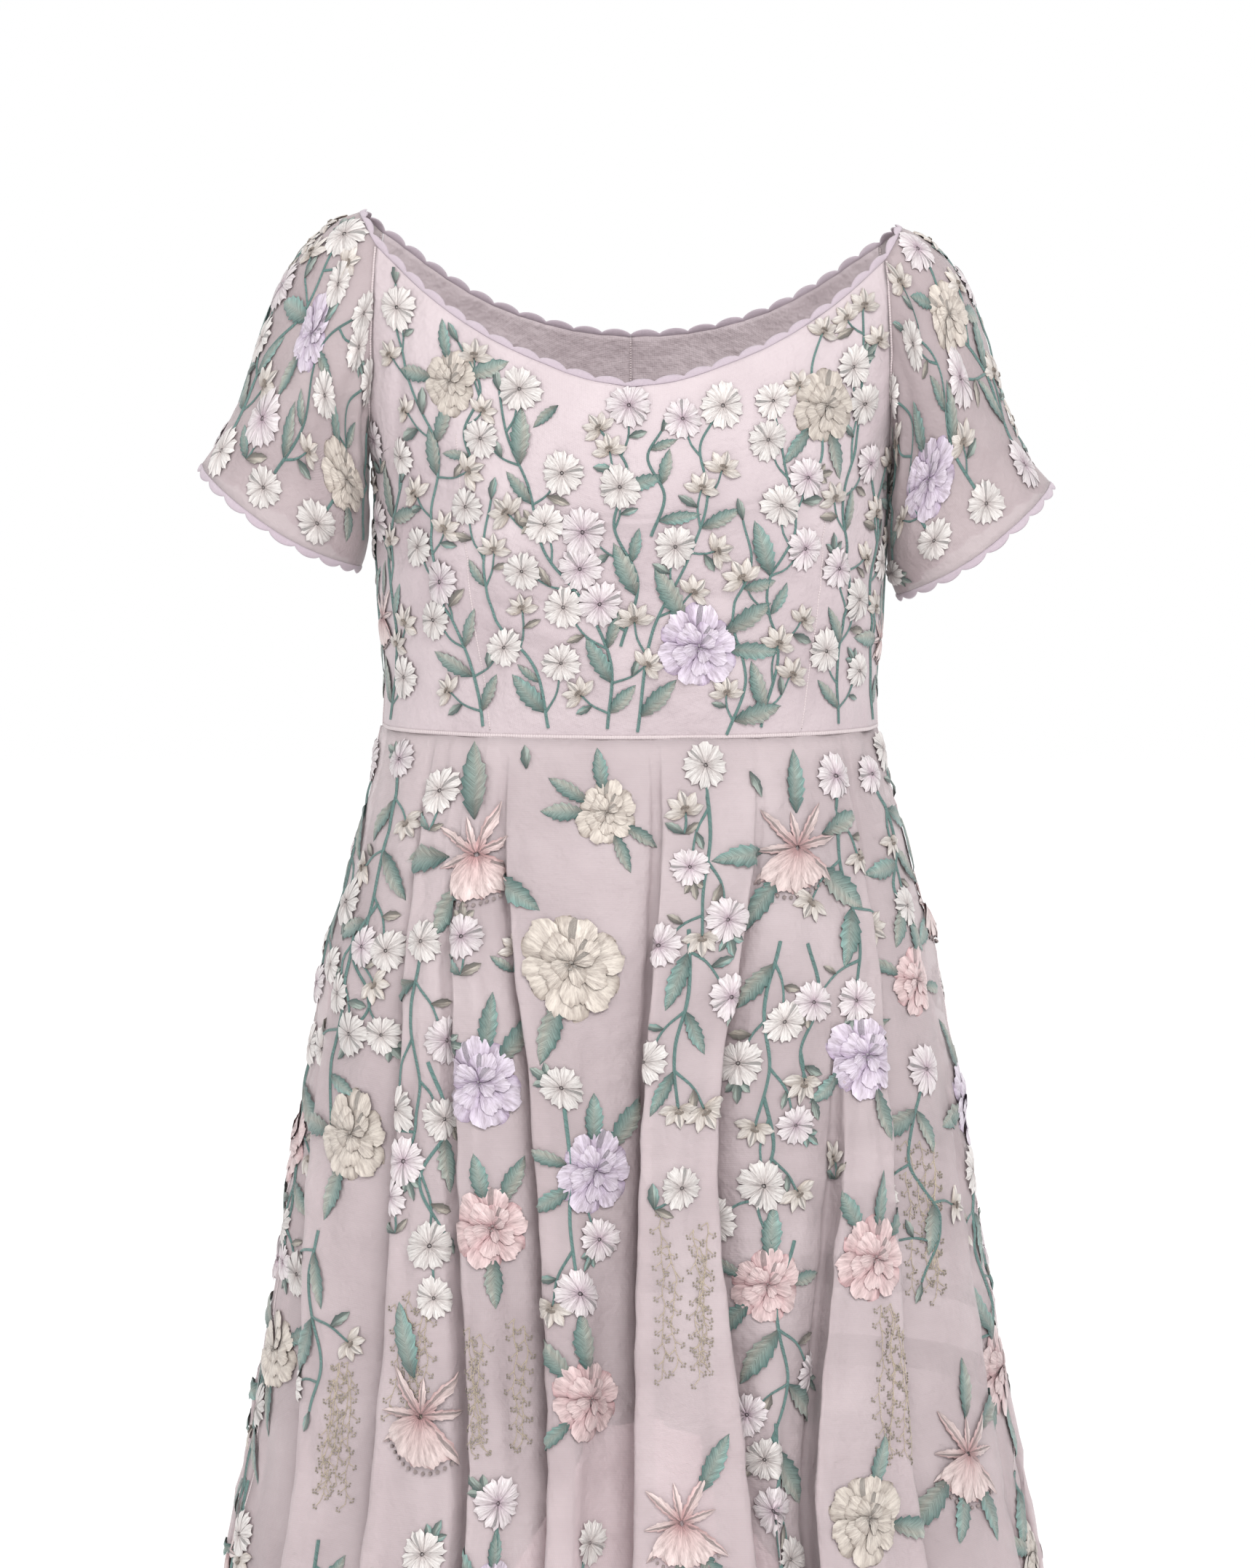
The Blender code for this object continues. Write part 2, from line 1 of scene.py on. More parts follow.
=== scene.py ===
# %% [markdown]
# # A high-low gown, stitched and finished
# The gown hangs as it is worn: a scoop-necked bodice, short flared sleeves and a pleated
# organza skirt over a lining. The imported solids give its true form. This lesson lays thin
# cloth on them, sews the seams, and covers the cloth with embroidered flowers.

import math

import bmesh
import bpy
import numpy as np
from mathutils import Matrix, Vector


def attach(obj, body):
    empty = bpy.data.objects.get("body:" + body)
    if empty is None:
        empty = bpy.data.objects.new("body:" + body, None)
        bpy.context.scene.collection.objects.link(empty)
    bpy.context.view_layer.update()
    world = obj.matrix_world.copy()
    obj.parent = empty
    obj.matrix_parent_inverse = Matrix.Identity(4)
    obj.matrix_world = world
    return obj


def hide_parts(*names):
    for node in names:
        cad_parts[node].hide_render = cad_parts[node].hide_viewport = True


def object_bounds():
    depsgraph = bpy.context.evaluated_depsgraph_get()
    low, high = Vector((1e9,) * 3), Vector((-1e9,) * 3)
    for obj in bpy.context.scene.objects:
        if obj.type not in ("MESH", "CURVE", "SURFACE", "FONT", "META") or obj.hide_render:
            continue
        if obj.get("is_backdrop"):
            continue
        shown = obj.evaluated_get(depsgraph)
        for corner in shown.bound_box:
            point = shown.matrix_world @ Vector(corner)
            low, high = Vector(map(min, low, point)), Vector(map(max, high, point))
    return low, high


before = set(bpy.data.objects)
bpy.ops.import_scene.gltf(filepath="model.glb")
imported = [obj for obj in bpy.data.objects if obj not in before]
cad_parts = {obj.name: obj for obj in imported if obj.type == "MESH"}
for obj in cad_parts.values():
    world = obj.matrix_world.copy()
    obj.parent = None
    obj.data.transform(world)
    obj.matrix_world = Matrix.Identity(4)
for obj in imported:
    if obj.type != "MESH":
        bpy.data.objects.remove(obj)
CAD_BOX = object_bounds()
MM = 0.001
print("solids to dress:", sorted(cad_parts))

# %% [markdown]
# ## The camera
# The picture was taken with a long lens from a little above the bust, so the gown's sides
# stay nearly parallel. The long side of the picture is its height, and Blender then
# measures the sensor along the height.

# %% Camera
CAMERA_AIM = (-0.002, 0.0, -0.354)
CAMERA_DISTANCE = 3.35
CAMERA_ELEVATION = math.radians(4.7)
CAMERA_LENS = 124.3

camera_data = bpy.data.cameras.new("camera")
camera_data.lens = CAMERA_LENS
camera_data.sensor_width = 36.0
camera_data.clip_end = 50.0
camera = bpy.data.objects.new("camera", camera_data)
bpy.context.scene.collection.objects.link(camera)
camera.location = (
    CAMERA_AIM[0],
    CAMERA_AIM[1] - CAMERA_DISTANCE * math.cos(CAMERA_ELEVATION),
    CAMERA_AIM[2] + CAMERA_DISTANCE * math.sin(CAMERA_ELEVATION),
)
camera.rotation_euler = (math.pi / 2 - CAMERA_ELEVATION, 0.0, 0.0)
bpy.context.scene.camera = camera
print("camera at", tuple(round(c, 3) for c in camera.location))

# %% [markdown]
# ## Floor and light
# A white studio: the light comes from everywhere, a wide soft lamp above the camera gives
# the folds their shade, and the pale floor lies just below the longest hem. The standard
# view keeps white cloth white.

# %% Floor and light
FLOOR_LEVEL = -1.43
FLOOR_SIDE = 28.0
WHITE = (1.0, 1.0, 1.0, 1.0)
SKY_STRENGTH = 1.0
KEY_POWER = 95.0
KEY_SIDE = 1.8
KEY_PLACE = (0.9, -2.9, 2.2)
FILL_POWER = 16.0
FILL_PLACE = (-2.6, -2.0, 0.6)
LAMP_AIM_DROP = 0.45


def soft_lamp(name, place, power, side):
    """A square lamp that faces the gown's waist."""
    light = bpy.data.lights.new(name, "AREA")
    light.energy = power
    light.size = side
    lamp = bpy.data.objects.new(name, light)
    bpy.context.scene.collection.objects.link(lamp)
    lamp.location = place
    way = lamp.location.copy()
    way.z += LAMP_AIM_DROP
    lamp.rotation_euler = way.to_track_quat("Z", "Y").to_euler()


soft_lamp("key_lamp", KEY_PLACE, KEY_POWER, KEY_SIDE)
soft_lamp("fill_lamp", FILL_PLACE, FILL_POWER, KEY_SIDE)

sky = bpy.data.worlds.new("white_studio")
sky.use_nodes = True
sky_light = sky.node_tree.nodes["Background"].inputs
sky_light["Color"].default_value = WHITE
sky_light["Strength"].default_value = SKY_STRENGTH
bpy.context.scene.world = sky
bpy.context.scene.view_settings.view_transform = "Standard"

bpy.ops.object.select_all(action="DESELECT")
bpy.ops.mesh.primitive_plane_add(size=FLOOR_SIDE, location=(0.0, 0.0, FLOOR_LEVEL))
floor = bpy.context.active_object
floor.name = "floor"
floor_finish = bpy.data.materials.new("pale_floor")
floor_finish.use_nodes = True
floor_shader = floor_finish.node_tree.nodes["Principled BSDF"].inputs
floor_shader["Base Color"].default_value = (0.93, 0.92, 0.92, 1.0)
floor_shader["Roughness"].default_value = 0.9
floor_shader["Specular IOR Level"].default_value = 0.1
floor_shader["Emission Color"].default_value = WHITE
floor_shader["Emission Strength"].default_value = 0.15
floor.data.materials.append(floor_finish)
floor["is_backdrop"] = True
print("floor at", FLOOR_LEVEL)

# %% [markdown]
# ## The gown's form, as tables
# The cloth here follows the same sizes as the solids: oval sections round the body, a neck
# and armhole line, and a row for each fold of the skirt. Heights are drops below the
# shoulder, and angles run round from the centre front, positive on the wearer's left.

# %% Sizes and sections
UNDERARM_DROP = 0.150
WAIST_DROP = 0.318
FRONT_HEM_DROP = 1.040
BACK_HEM_DROP = 1.400
HEM_SWEEP = 1.4
SHOULDER_TILT = 0.010
SHOULDER_REACH = 0.1655

# Drop, half width, front depth, back depth, in mm
BODY_SECTIONS = MM * np.array((
    (0, 180, 58, 75),
    (50, 179, 85, 97),
    (100, 172, 112, 108),
    (150, 160, 126, 108),
    (200, 156.5, 129, 104),
    (250, 154.5, 121, 98),
    (290, 151.5, 112, 93),
    (318, 152.5, 108, 92),
))
SKIRT_SECTIONS = MM * np.array((
    (318, 152.5, 108, 92),
    (345, 158, 114, 98),
    (378, 166.5, 121, 106),
    (414, 175, 129, 117),
    (450, 186, 139, 130),
    (500, 196, 149, 145),
    (560, 206.5, 160, 160),
    (650, 222, 176, 184),
    (750, 240, 192, 208),
    (835, 256, 205, 226),
    (1040, 291, 232, 262),
    (1400, 345, 275, 315),
))
# Neckline: distance from the middle, drop at the front, drop at the back, in mm
NECKLINE = MM * np.array((
    (0, 107.7, 78),
    (30, 102.5, 76),
    (53, 94.5, 71.5),
    (96, 74, 56),
    (125, 53.6, 38.5),
    (142, 38.5, 26),
    (153.5, 27.5, 18),
))
# Armhole seam: drop, distance from the middle at the front, and at the back, in mm
ARMHOLE = MM * np.array((
    (18, 152, 153.5),
    (27.5, 153.5, 154.5),
    (45, 155.2, 156),
    (70, 156.5, 157.5),
    (100, 157.2, 158.2),
    (125, 158.2, 158.8),
    (150, 160, 160),
))


def curve(t, start, start_slope, end, end_slope):
    """A smooth curve from start to end as t goes from 0 to 1, with a slope at each."""
    leave = (2 * t**3 - 3 * t**2 + 1) * start + (t**3 - 2 * t**2 + t) * start_slope
    return leave + (3 * t**2 - 2 * t**3) * end + (t**3 - t**2) * end_slope


def read_table(rows, at):
    """Smooth curve through a table: the first column is the place, the others the values."""
    table = np.array(rows, dtype=float)
    place = table[:, 0]
    values = table[:, 1:]
    slopes = np.gradient(values, place, axis=0)
    at = np.clip(np.asarray(at, dtype=float), place[0], place[-1])
    low = np.clip(np.searchsorted(place, at) - 1, 0, len(place) - 2)
    span = (place[low + 1] - place[low])[..., None]
    t = (at - place[low])[..., None] / span
    points = curve(t, values[low], span * slopes[low], values[low + 1], span * slopes[low + 1])
    return np.moveaxis(points, -1, 0)


def section_at(sections, angle, drop):
    """Half width and depth of a section, and the length along it for each radian."""
    half, front, back = read_table(sections, drop)
    depth = np.where(np.cos(angle) > 0.0, front, back)
    return half, depth, np.hypot(half * np.cos(angle), depth * np.sin(angle))


def oval(sections, angle, drop, proud=0.0):
    """Points round a section of the body, moved out by proud."""
    half, depth, speed = section_at(sections, angle, drop)
    s = np.sin(angle)
    c = np.cos(angle)
    x = half * s + proud * depth * s / speed
    y = -depth * c - proud * half * c / speed
    return np.stack([x, y, -drop + 0.0 * x], axis=-1)


def tilt_shoulders(points):
    """Lowers the wearer's left shoulder and raises the right one, less towards the waist."""
    points = points.copy()
    height = np.clip((points[..., 2] + WAIST_DROP) / WAIST_DROP, 0.0, 1.2)
    points[..., 2] -= 0.5 * SHOULDER_TILT * height * points[..., 0] / SHOULDER_REACH
    return points


print("waist", WAIST_DROP, "front hem", FRONT_HEM_DROP, "back hem", BACK_HEM_DROP)

# %% [markdown]
# ## A cloth that can be measured
# Every finer thing lies on the cloth: panels, seams, stems and petals. So each cloth is kept
# as one dense grid of points that can be asked for a point at a row and a column, or at a
# length of cloth measured along a row. A motif laid out flat then keeps its true size, and
# follows each fold, as stitches do.

# %% The Cloth class
def lengths_along(points):
    """Length from the start to each point, along the first axis of a grid or a path."""
    steps = np.linalg.norm(np.diff(points, axis=0), axis=-1)
    return np.concatenate([np.zeros((1, *steps.shape[1:])), np.cumsum(steps, axis=0)])


class Cloth:
    """A dense grid of points: rows run down the cloth, columns to the viewer's right."""

    def __init__(self, points, rows_per_metre, inside):
        self.points = points
        self.rows_per_metre = rows_per_metre
        self.inside = inside
        self.measure()

    def measure(self):
        """Normals, and the length of cloth along each row."""
        self.length = np.ascontiguousarray(lengths_along(np.swapaxes(self.points, 0, 1)).T)
        down = np.gradient(self.points, axis=0)
        across = np.gradient(self.points, axis=1)
        normal = np.cross(down, across)
        self.normal = normal / np.linalg.norm(normal, axis=2)[..., None]
        self.span = self.length.max() + 1.0
        row_starts = self.span * np.arange(len(self.points))
        self.keys = (self.length + row_starts[:, None]).ravel()

    def mix(self, grid, row, column):
        """A grid's value between its rows and columns."""
        rows, columns = self.length.shape
        r = np.clip(np.floor(row).astype(int), 0, rows - 2)
        c = np.clip(np.floor(column).astype(int), 0, columns - 2)
        f = np.clip(row - r, 0.0, 1.0)[..., None]
        g = np.clip(column - c, 0.0, 1.0)[..., None]
        upper = (1 - g) * grid[r, c] + g * grid[r, c + 1]
        lower = (1 - g) * grid[r + 1, c] + g * grid[r + 1, c + 1]
        return (1 - f) * upper + f * lower

    def look(self, row, column, proud=0.0):
        """Points at rows and columns, moved out of the cloth by proud."""
        row, column, proud = np.broadcast_arrays(
            np.asarray(row, float), np.asarray(column, float), np.asarray(proud, float)
        )
        normal = self.mix(self.normal, row, column)
        normal = normal / np.linalg.norm(normal, axis=-1)[..., None]
        return self.mix(self.points, row, column) + proud[..., None] * normal

    def column_at(self, row, column, across):
        """Columns that lie a length of cloth from a column, on whole rows."""
        low = int(np.clip(math.floor(column), 0, self.length.shape[1] - 2))
        share = column - low
        start = (1 - share) * self.length[row, low] + share * self.length[row, low + 1]
        wanted = start + across
        found = np.searchsorted(self.keys, wanted + self.span * row) - row * self.length.shape[1]
        found = np.clip(found, 1, self.length.shape[1] - 1)
        before = self.length[row, found - 1]
        after = self.length[row, found]
        return found - 1 + (wanted - before) / (after - before)

    def place(self, row, column, across, proud):
        """Points at a length of cloth from a column, and which of them lie on the cloth."""
        upper = np.clip(np.floor(row).astype(int), 0, len(self.points) - 2)
        share = np.clip(row - upper, 0.0, 1.0)
        above = self.column_at(upper, column, across)
        below = self.column_at(upper + 1, column, across)
        at_above = self.look(upper, above, proud)
        at_below = self.look(upper + 1, below, proud)
        points = (1 - share)[:, None] * at_above + share[:, None] * at_below
        middle = (1 - share) * above + share * below
        last = self.length.shape[1] - 1
        on_cloth = (row >= 0) & (row <= len(self.points) - 1) & (middle >= 0) & (middle <= last)
        return points, on_cloth & self.inside(row, middle)


print("cloths can be measured")

# %% [markdown]
# Creases are placed one by one, and a slow ripple makes light cloth a little uneven.

# %% Creases and ripples
def crease(cloth, creases, middle_column, first_drop):
    """Soft troughs and ridges, a row for each: place across and down, half length,
    direction in degrees from level, height (below zero is a trough) and half width, all
    lengths in mm."""
    rows = np.arange(len(cloth.points))
    column = int(round(middle_column))
    across = (cloth.length - cloth.length[:, column][:, None]) / MM
    down = (first_drop + rows / cloth.rows_per_metre)[:, None] / MM
    lift = np.zeros_like(across)
    for x, drop, reach, turn, height, width in creases:
        c = math.cos(math.radians(turn))
        s = math.sin(math.radians(turn))
        along = (across - x) * c + (down - drop) * s
        aside = -(across - x) * s + (down - drop) * c
        lift += height * np.exp(-((aside / width) ** 2)) * np.exp(-((along / reach) ** 4))
    cloth.points = cloth.points + MM * lift[..., None] * cloth.normal
    cloth.measure()


def ripple(cloth, height, wave, seed):
    """The slight unevenness of light cloth: a sum of slow waves in all directions."""
    draw = np.random.default_rng(seed)
    lift = np.zeros_like(cloth.length)
    place = cloth.points
    for _ in range(18):
        way = draw.normal(size=3)
        way *= math.tau / (wave * draw.uniform(0.6, 1.7)) / np.linalg.norm(way)
        lift += np.sin(place @ way + draw.uniform(0, math.tau))
    cloth.points = place + (height * lift / 3.0)[..., None] * cloth.normal
    cloth.measure()


print("cloths can be creased")

# %% [markdown]
# ## Bodice
# The bodice is one ring of ovals. Its panels are cut from it along the neckline, the
# armholes and the side seams, and its creases are placed one by one: drag lines under the
# bust and at the darts, and short tucks above the waist seam.

# %% Bodice cloth
BODICE_TOP = 0.004
BODICE_ROWS = 160
BODICE_COLUMNS = 481
BODICE_STEP = (WAIST_DROP - BODICE_TOP) / (BODICE_ROWS - 1)


def edge_angle(drop, back):
    """Angle of the side seam, and above it of the armhole seam, at a drop."""
    half = read_table(BODY_SECTIONS, drop)[0]
    reach = np.where(back, read_table(ARMHOLE, drop)[1], read_table(ARMHOLE, drop)[0])
    at_armhole = np.arcsin(np.clip(reach / half, -1.0, 1.0))
    return np.where(drop >= UNDERARM_DROP, math.pi / 2, at_armhole)


def angle_column(angle):
    """The bodice column at an angle."""
    return (angle + math.pi) / math.tau * (BODICE_COLUMNS - 1)


def drop_row(drop):
    """The bodice row at a drop."""
    return (drop - BODICE_TOP) / BODICE_STEP


def inside_bodice(row, column):
    """Whether a place lies below the neckline and between the armholes."""
    drop = BODICE_TOP + row * BODICE_STEP
    angle = column / (BODICE_COLUMNS - 1) * math.tau - math.pi
    back = np.abs(angle) > math.pi / 2
    half = read_table(BODY_SECTIONS, drop)[0]
    reach = np.abs(half * np.sin(angle))
    neck = np.where(back, read_table(NECKLINE, reach)[1], read_table(NECKLINE, reach)[0])
    from_middle = np.where(back, math.pi - np.abs(angle), np.abs(angle))
    return (drop > neck) & (from_middle < edge_angle(drop, back)) & (drop < WAIST_DROP)


grid = np.meshgrid(
    np.linspace(-math.pi, math.pi, BODICE_COLUMNS), np.linspace(BODICE_TOP, WAIST_DROP, BODICE_ROWS)
)
points = tilt_shoulders(oval(BODY_SECTIONS, grid[0], grid[1]))
bodice = Cloth(points, 1 / BODICE_STEP, inside_bodice)

# Across from the centre front, drop, half length, direction, height, half width, in mm
BODICE_CREASES = (
    (45, 232, 45, 6, -1.9, 4.2),
    (62, 243, 50, -8, 1.7, 4.6),
    (30, 252, 40, 4, -1.5, 3.6),
    (98, 222, 30, 24, -1.7, 4),
    (-66, 238, 40, -6, -1.7, 4.4),
    (-48, 256, 38, 9, 1.5, 4),
    (-110, 215, 34, -22, -1.9, 4.6),
    (-125, 246, 30, -40, 1.5, 4.2),
    (-150, 205, 30, -34, -2, 5),
    (142, 208, 30, 32, -2, 5),
    (150, 240, 32, 20, 1.7, 4.8),
    (-92, 292, 22, 82, -1.5, 4),
    (-74, 296, 18, 96, 1.4, 4),
    (84, 294, 20, 84, -1.5, 4),
    (104, 298, 18, 98, 1.4, 4),
    (-20, 298, 16, 78, -1, 4),
    (22, 296, 18, 92, -1, 4.4),
    (150, 120, 40, 74, -2.4, 5.2),
    (-155, 118, 40, -74, -2.4, 5.2),
    (330, 220, 60, 8, -2, 6),
    (350, 250, 50, -10, 1.7, 6),
    (300, 280, 30, 30, -1.7, 5),
    (-340, 215, 60, -8, -2, 6),
    (-320, 252, 50, 12, 1.7, 6),
    (-300, 284, 30, -28, -1.7, 5),
)
crease(bodice, BODICE_CREASES, angle_column(0.0), BODICE_TOP)
ripple(bodice, 0.00035, 0.030, 3)
print("bodice cloth round the waist:", round(float(bodice.length[-1, -1]), 3), "m")

# %% [markdown]
# ## Sleeves
# Each sleeve runs from the armhole seam, over the shoulder, to a flared hem, and falls in
# four soft folds. One form serves both sides.

# %% Form of a sleeve
SEAM_GAP = 0.0004
SHOULDER_TOP = (0.1655, 0.004, 0.0066)
SHOULDER_PART = 0.12
HEM_Y = 0.008
HEM_HALF_DEPTH = 0.056
HEM_FRONT_SAG = 0.007
HEM_FLARE = 0.16
SLEEVE_FOLD = 0.0032
SLEEVE_FOLDS = 4.0
SLEEVE_FOLD_TWIST = 0.9
SLEEVE_ROWS = 61
SLEEVE_COLUMNS = 181
# Side (+1 is the wearer's left), hem outer x, hem outer drop, hem inner x, hem inner drop
SLEEVES = {
    "left": (+1, 0.259, 0.164, 0.164, 0.236),
    "right": (-1, 0.265, 0.1605, 0.1665, 0.2215),
}


def sleeve_root(turn):
    """Seam of a sleeve on the wearer's left: over the shoulder, down the front armhole to
    the underarm at half a turn, and up the back armhole."""
    turn = np.mod(np.asarray(turn, dtype=float) + 0.5, 1.0) - 0.5
    back = turn < 0.0
    share = np.clip((np.abs(turn) - SHOULDER_PART) / (0.5 - SHOULDER_PART), 0.0, 1.0)
    corner = np.where(back, NECKLINE[-1][2], NECKLINE[-1][1])
    drop = corner + (UNDERARM_DROP - corner) * share
    reach = np.where(back, read_table(ARMHOLE, drop)[1], read_table(ARMHOLE, drop)[0])
    half = read_table(BODY_SECTIONS, drop)[0]
    angle = np.arcsin(np.clip(reach / half, -1.0, 1.0))
    angle = np.where(back, math.pi - angle, angle)
    root = oval(BODY_SECTIONS, angle, drop)
    arc = np.clip(np.abs(turn) / SHOULDER_PART, 0.0, 1.0) * math.pi / 2
    over = np.cos(arc)
    root[..., 0] += over * (SHOULDER_TOP[0] - root[..., 0])
    root[..., 1] = SHOULDER_TOP[1] + (root[..., 1] - SHOULDER_TOP[1]) * np.sin(arc)
    root[..., 2] += over * (-SHOULDER_TOP[2] - root[..., 2])
    root[..., 0] += SEAM_GAP
    return root


def sleeve_way(turn):
    """The way the cloth of a sleeve on the wearer's left leaves its root."""
    c = np.cos(math.tau * turn)
    s = np.sin(math.tau * turn)
    return np.stack([0.58 + 0.37 * c, -0.38 * s, -0.62 + 0.34 * c], axis=-1)


def sleeve_hem(turn, outer_x, outer_drop, inner_x, inner_drop):
    """Hem ring of a sleeve on the wearer's left, and the way the cloth points there."""
    middle = np.array([(outer_x + inner_x) / 2, HEM_Y, -(outer_drop + inner_drop) / 2])
    reach = np.array([(outer_x - inner_x) / 2, 0.0, (inner_drop - outer_drop) / 2])
    length = math.hypot(reach[0], reach[2])
    axis = np.array([reach[2], 0.0, -reach[0]]) / length
    c = np.cos(math.tau * turn)[..., None]
    s = np.sin(math.tau * turn)[..., None]
    ring = middle + c * reach + s * np.array([0.0, -HEM_HALF_DEPTH, 0.0])
    ring = ring + HEM_FRONT_SAG * np.maximum(s, 0.0) ** 2 * axis
    flare = HEM_FLARE * (c * reach / length + s * np.array([0.0, -1.0, 0.0]))
    return ring, axis + flare


def sleeve_points(side, turn, along):
    """Points of a sleeve: turn goes round from the shoulder by the front, along goes from
    the armhole to the hem."""
    sign, outer_x, outer_drop, inner_x, inner_drop = SLEEVES[side]
    root = sleeve_root(turn)
    hem, hem_way = sleeve_hem(turn, outer_x, outer_drop, inner_x, inner_drop)
    chord = np.linalg.norm(hem - root, axis=-1)[..., None]
    c = np.cos(math.tau * turn)
    s = np.sin(math.tau * turn)
    points = curve(along[..., None], root, chord * sleeve_way(turn), hem, chord * hem_way)
    fold = np.sin(math.tau * (SLEEVE_FOLDS * turn + SLEEVE_FOLD_TWIST * along))
    size = SLEEVE_FOLD * fold * np.maximum(np.abs(s), 0.2) * np.sin(0.92 * math.pi * along) ** 0.8
    points[..., 0] += size * (0.3 + 0.5 * c)
    points[..., 1] -= size * s
    points[..., 0] *= sign
    return points


print("hem of a sleeve:", round(2 * HEM_HALF_DEPTH, 3), "m from front to back")

# %% [markdown]
# A column runs from the seam to the hem, and the grid is open along the underarm. The same
# creases are placed on both sleeves, turned over for the other side.

# %% Sleeve cloths
def everywhere(row, column):
    """A cloth with no edge inside its grid."""
    return np.full(np.shape(row), True)


# Across from the sleeve's front, way down, half length, direction, height, half width, in mm
SLEEVE_CREASES = (
    (55, 30, 30, 62, -1.8, 5),
    (40, 45, 36, 70, 1.6, 5),
    (18, 40, 34, 80, -1.5, 5.5),
    (-20, 35, 30, 96, 1.2, 6),
    (-60, 50, 30, 108, -1.2, 6),
    (70, 75, 26, 55, 1.2, 5),
    (10, 90, 26, 84, -1, 6),
    (-100, 60, 30, 90, 1.2, 7),
    (-150, 50, 30, 80, -1.4, 7),
)
sleeves = {}
for side, row in SLEEVES.items():
    turns = np.linspace(-0.5, 0.5, SLEEVE_COLUMNS)
    if row[0] > 0:
        turns = turns[::-1]
    grid = np.meshgrid(turns, np.linspace(0.0, 1.0, SLEEVE_ROWS))
    points = tilt_shoulders(sleeve_points(side, grid[0], grid[1]))
    cloth = Cloth(points, (SLEEVE_ROWS - 1) / lengths_along(points)[-1].mean(), everywhere)
    creases = []
    for x, y, reach, turn, height, width in SLEEVE_CREASES:
        creases.append((-row[0] * x, y, reach, 180 - turn if row[0] > 0 else turn, height, width))
    front = int(np.argmin(np.abs(turns - 0.25)))
    crease(cloth, creases, front, 0.0)
    ripple(cloth, 0.0003, 0.026, 5)
    sleeves[side] = cloth
    print("sleeve", side, "hem length", round(float(cloth.length[-1, -1]), 3), "m")

# %% [markdown]
# ## Skirt and lining
# The skirt is one ring of folded cloth. Each fold is a row of a table, as in the solids: its
# angle at three heights, its depth, and how the cloth beside it laps over. A profile gives
# the columns that cross a fold.

# %% Table of folds
TOP_DROP = 0.340
MID_DROP = 0.520
LOW_DROP = 0.780
SETTLED_DROP = 0.860
# Angle at the top, the middle and low down; depth; lap; start; heights before and after; reach
FOLDS = (
    (-168, -168, -168, 0.034, +1, 0.01, -0.004, 0.006, 1),
    (-147, -147, -146, 0.042, +1, 0.04, 0.002, 0.008, 1),
    (-124, -123, -122, 0.03, -1, 0, 0.006, -0.004, 1),
    (-101, -100, -98, 0.036, -1, 0.12, 0.004, -0.008, 1),
    (-78, -75.5, -58, 0.041, +1, 0.15, -0.01, 0.004, 1),
    (-54, -46, -40.5, 0.038, +1, 0, -0.004, 0.01, 1),
    (-41.5, -34, -25, 0.01, +1, 0.03, 0.01, 0.008, 0.4),
    (-31, -20, -13, 0.038, +1, 0.01, -0.004, 0.008, 0.7),
    (3.8, 0, -1, 0.044, +1, 0, -0.012, 0.012, 0.6),
    (31, 17.6, 18, 0.042, -1, 0.02, 0.012, -0.008, 0.45),
    (42, 37, 24.7, 0.034, +1, 0.17, -0.01, 0.008, 0.5),
    (60, 53, 45.6, 0.026, -1, 0, 0.008, -0.004, 1),
    (80, 76.5, 70.5, 0.034, -1, 0.22, 0.002, -0.01, 1),
    (102, 100, 97, 0.036, +1, 0.09, -0.006, 0.006, 1),
    (124, 122, 121, 0.03, -1, 0, 0.008, 0, 1),
    (147, 145, 145, 0.04, -1, 0.05, 0.006, -0.004, 1),
    (168, 168, 168, 0.034, -1, 0.01, 0.006, -0.002, 1),
)
RIDGE_CROWN = 0.003
FOLD_LIMIT = 1.5
FOLD_SETTLE = 1.1
# Side shift, side shift per depth, depth share, far neighbour's share, near neighbour's share
SKIRT_PROFILE = (
    (-0.01, -0.42, 0, 1, 0),
    (-0.0035, -0.05, 0.16, 1, 0),
    (0.0003, 0.2, 0.62, 0, 0),
    (0.0012, 0.31, 0.93, 0, 0),
    (0.0042, 0.37, 0.955, 0, 0),
    (0.0062, 0.34, 0.6, 0, 0),
    (0.0077, 0.13, 0.26, 0, 1),
    (0.0104, -0.13, 0.1, 0, 1),
    (0.013, -0.13, 0.015, 0, 1),
    (0.0172, 0.12, 0, 0, 1),
)
LINING_PROFILE = (
    (-0.01, -0.42, 0, 1, 0),
    (-0.002, 0.08, 0.66, 0, 0),
    (0.003, 0.36, 1, 0, 0),
    (0.009, 0.48, 0.62, 0, 0),
    (0.014, 0.34, 0.16, 0, 1),
)
RIDGE_SHARES = (0.25, 0.5, 0.75)
SKIRT_ROWS = 331
SKIRT_STEP = (BACK_HEM_DROP - WAIST_DROP) / (SKIRT_ROWS - 1)
PARTS_PER_COLUMN = 4
print("folds round the skirt:", len(FOLDS))

# %% [markdown]
# A fold opens slowly below the waist seam. Between two folds lies a ridge with a slight
# crown, and between the columns the cloth follows a smooth curve.

# %% Folds and ridges
def fold_growth(drop, start):
    """How far a fold has opened at a drop: 0 at its start, near 1 at LOW_DROP."""
    way = (drop - WAIST_DROP - start) / (LOW_DROP - WAIST_DROP - start)
    return FOLD_LIMIT * (1.0 - np.exp(-np.maximum(way, 0.0) / FOLD_SETTLE))


def fold_angle(fold, drop):
    """Angle of a valley at a drop."""
    stations = (WAIST_DROP, TOP_DROP, MID_DROP, LOW_DROP, SETTLED_DROP, BACK_HEM_DROP)
    angles = (fold[0], fold[0], fold[1], fold[2], fold[2], fold[2])
    rows = [(s, math.radians(a)) for s, a in zip(stations, angles)]
    return read_table(rows, drop)[0]


def valley_columns(fold, profile):
    """The profile's rows in the order of their angle."""
    return profile if fold[4] > 0 else profile[::-1]


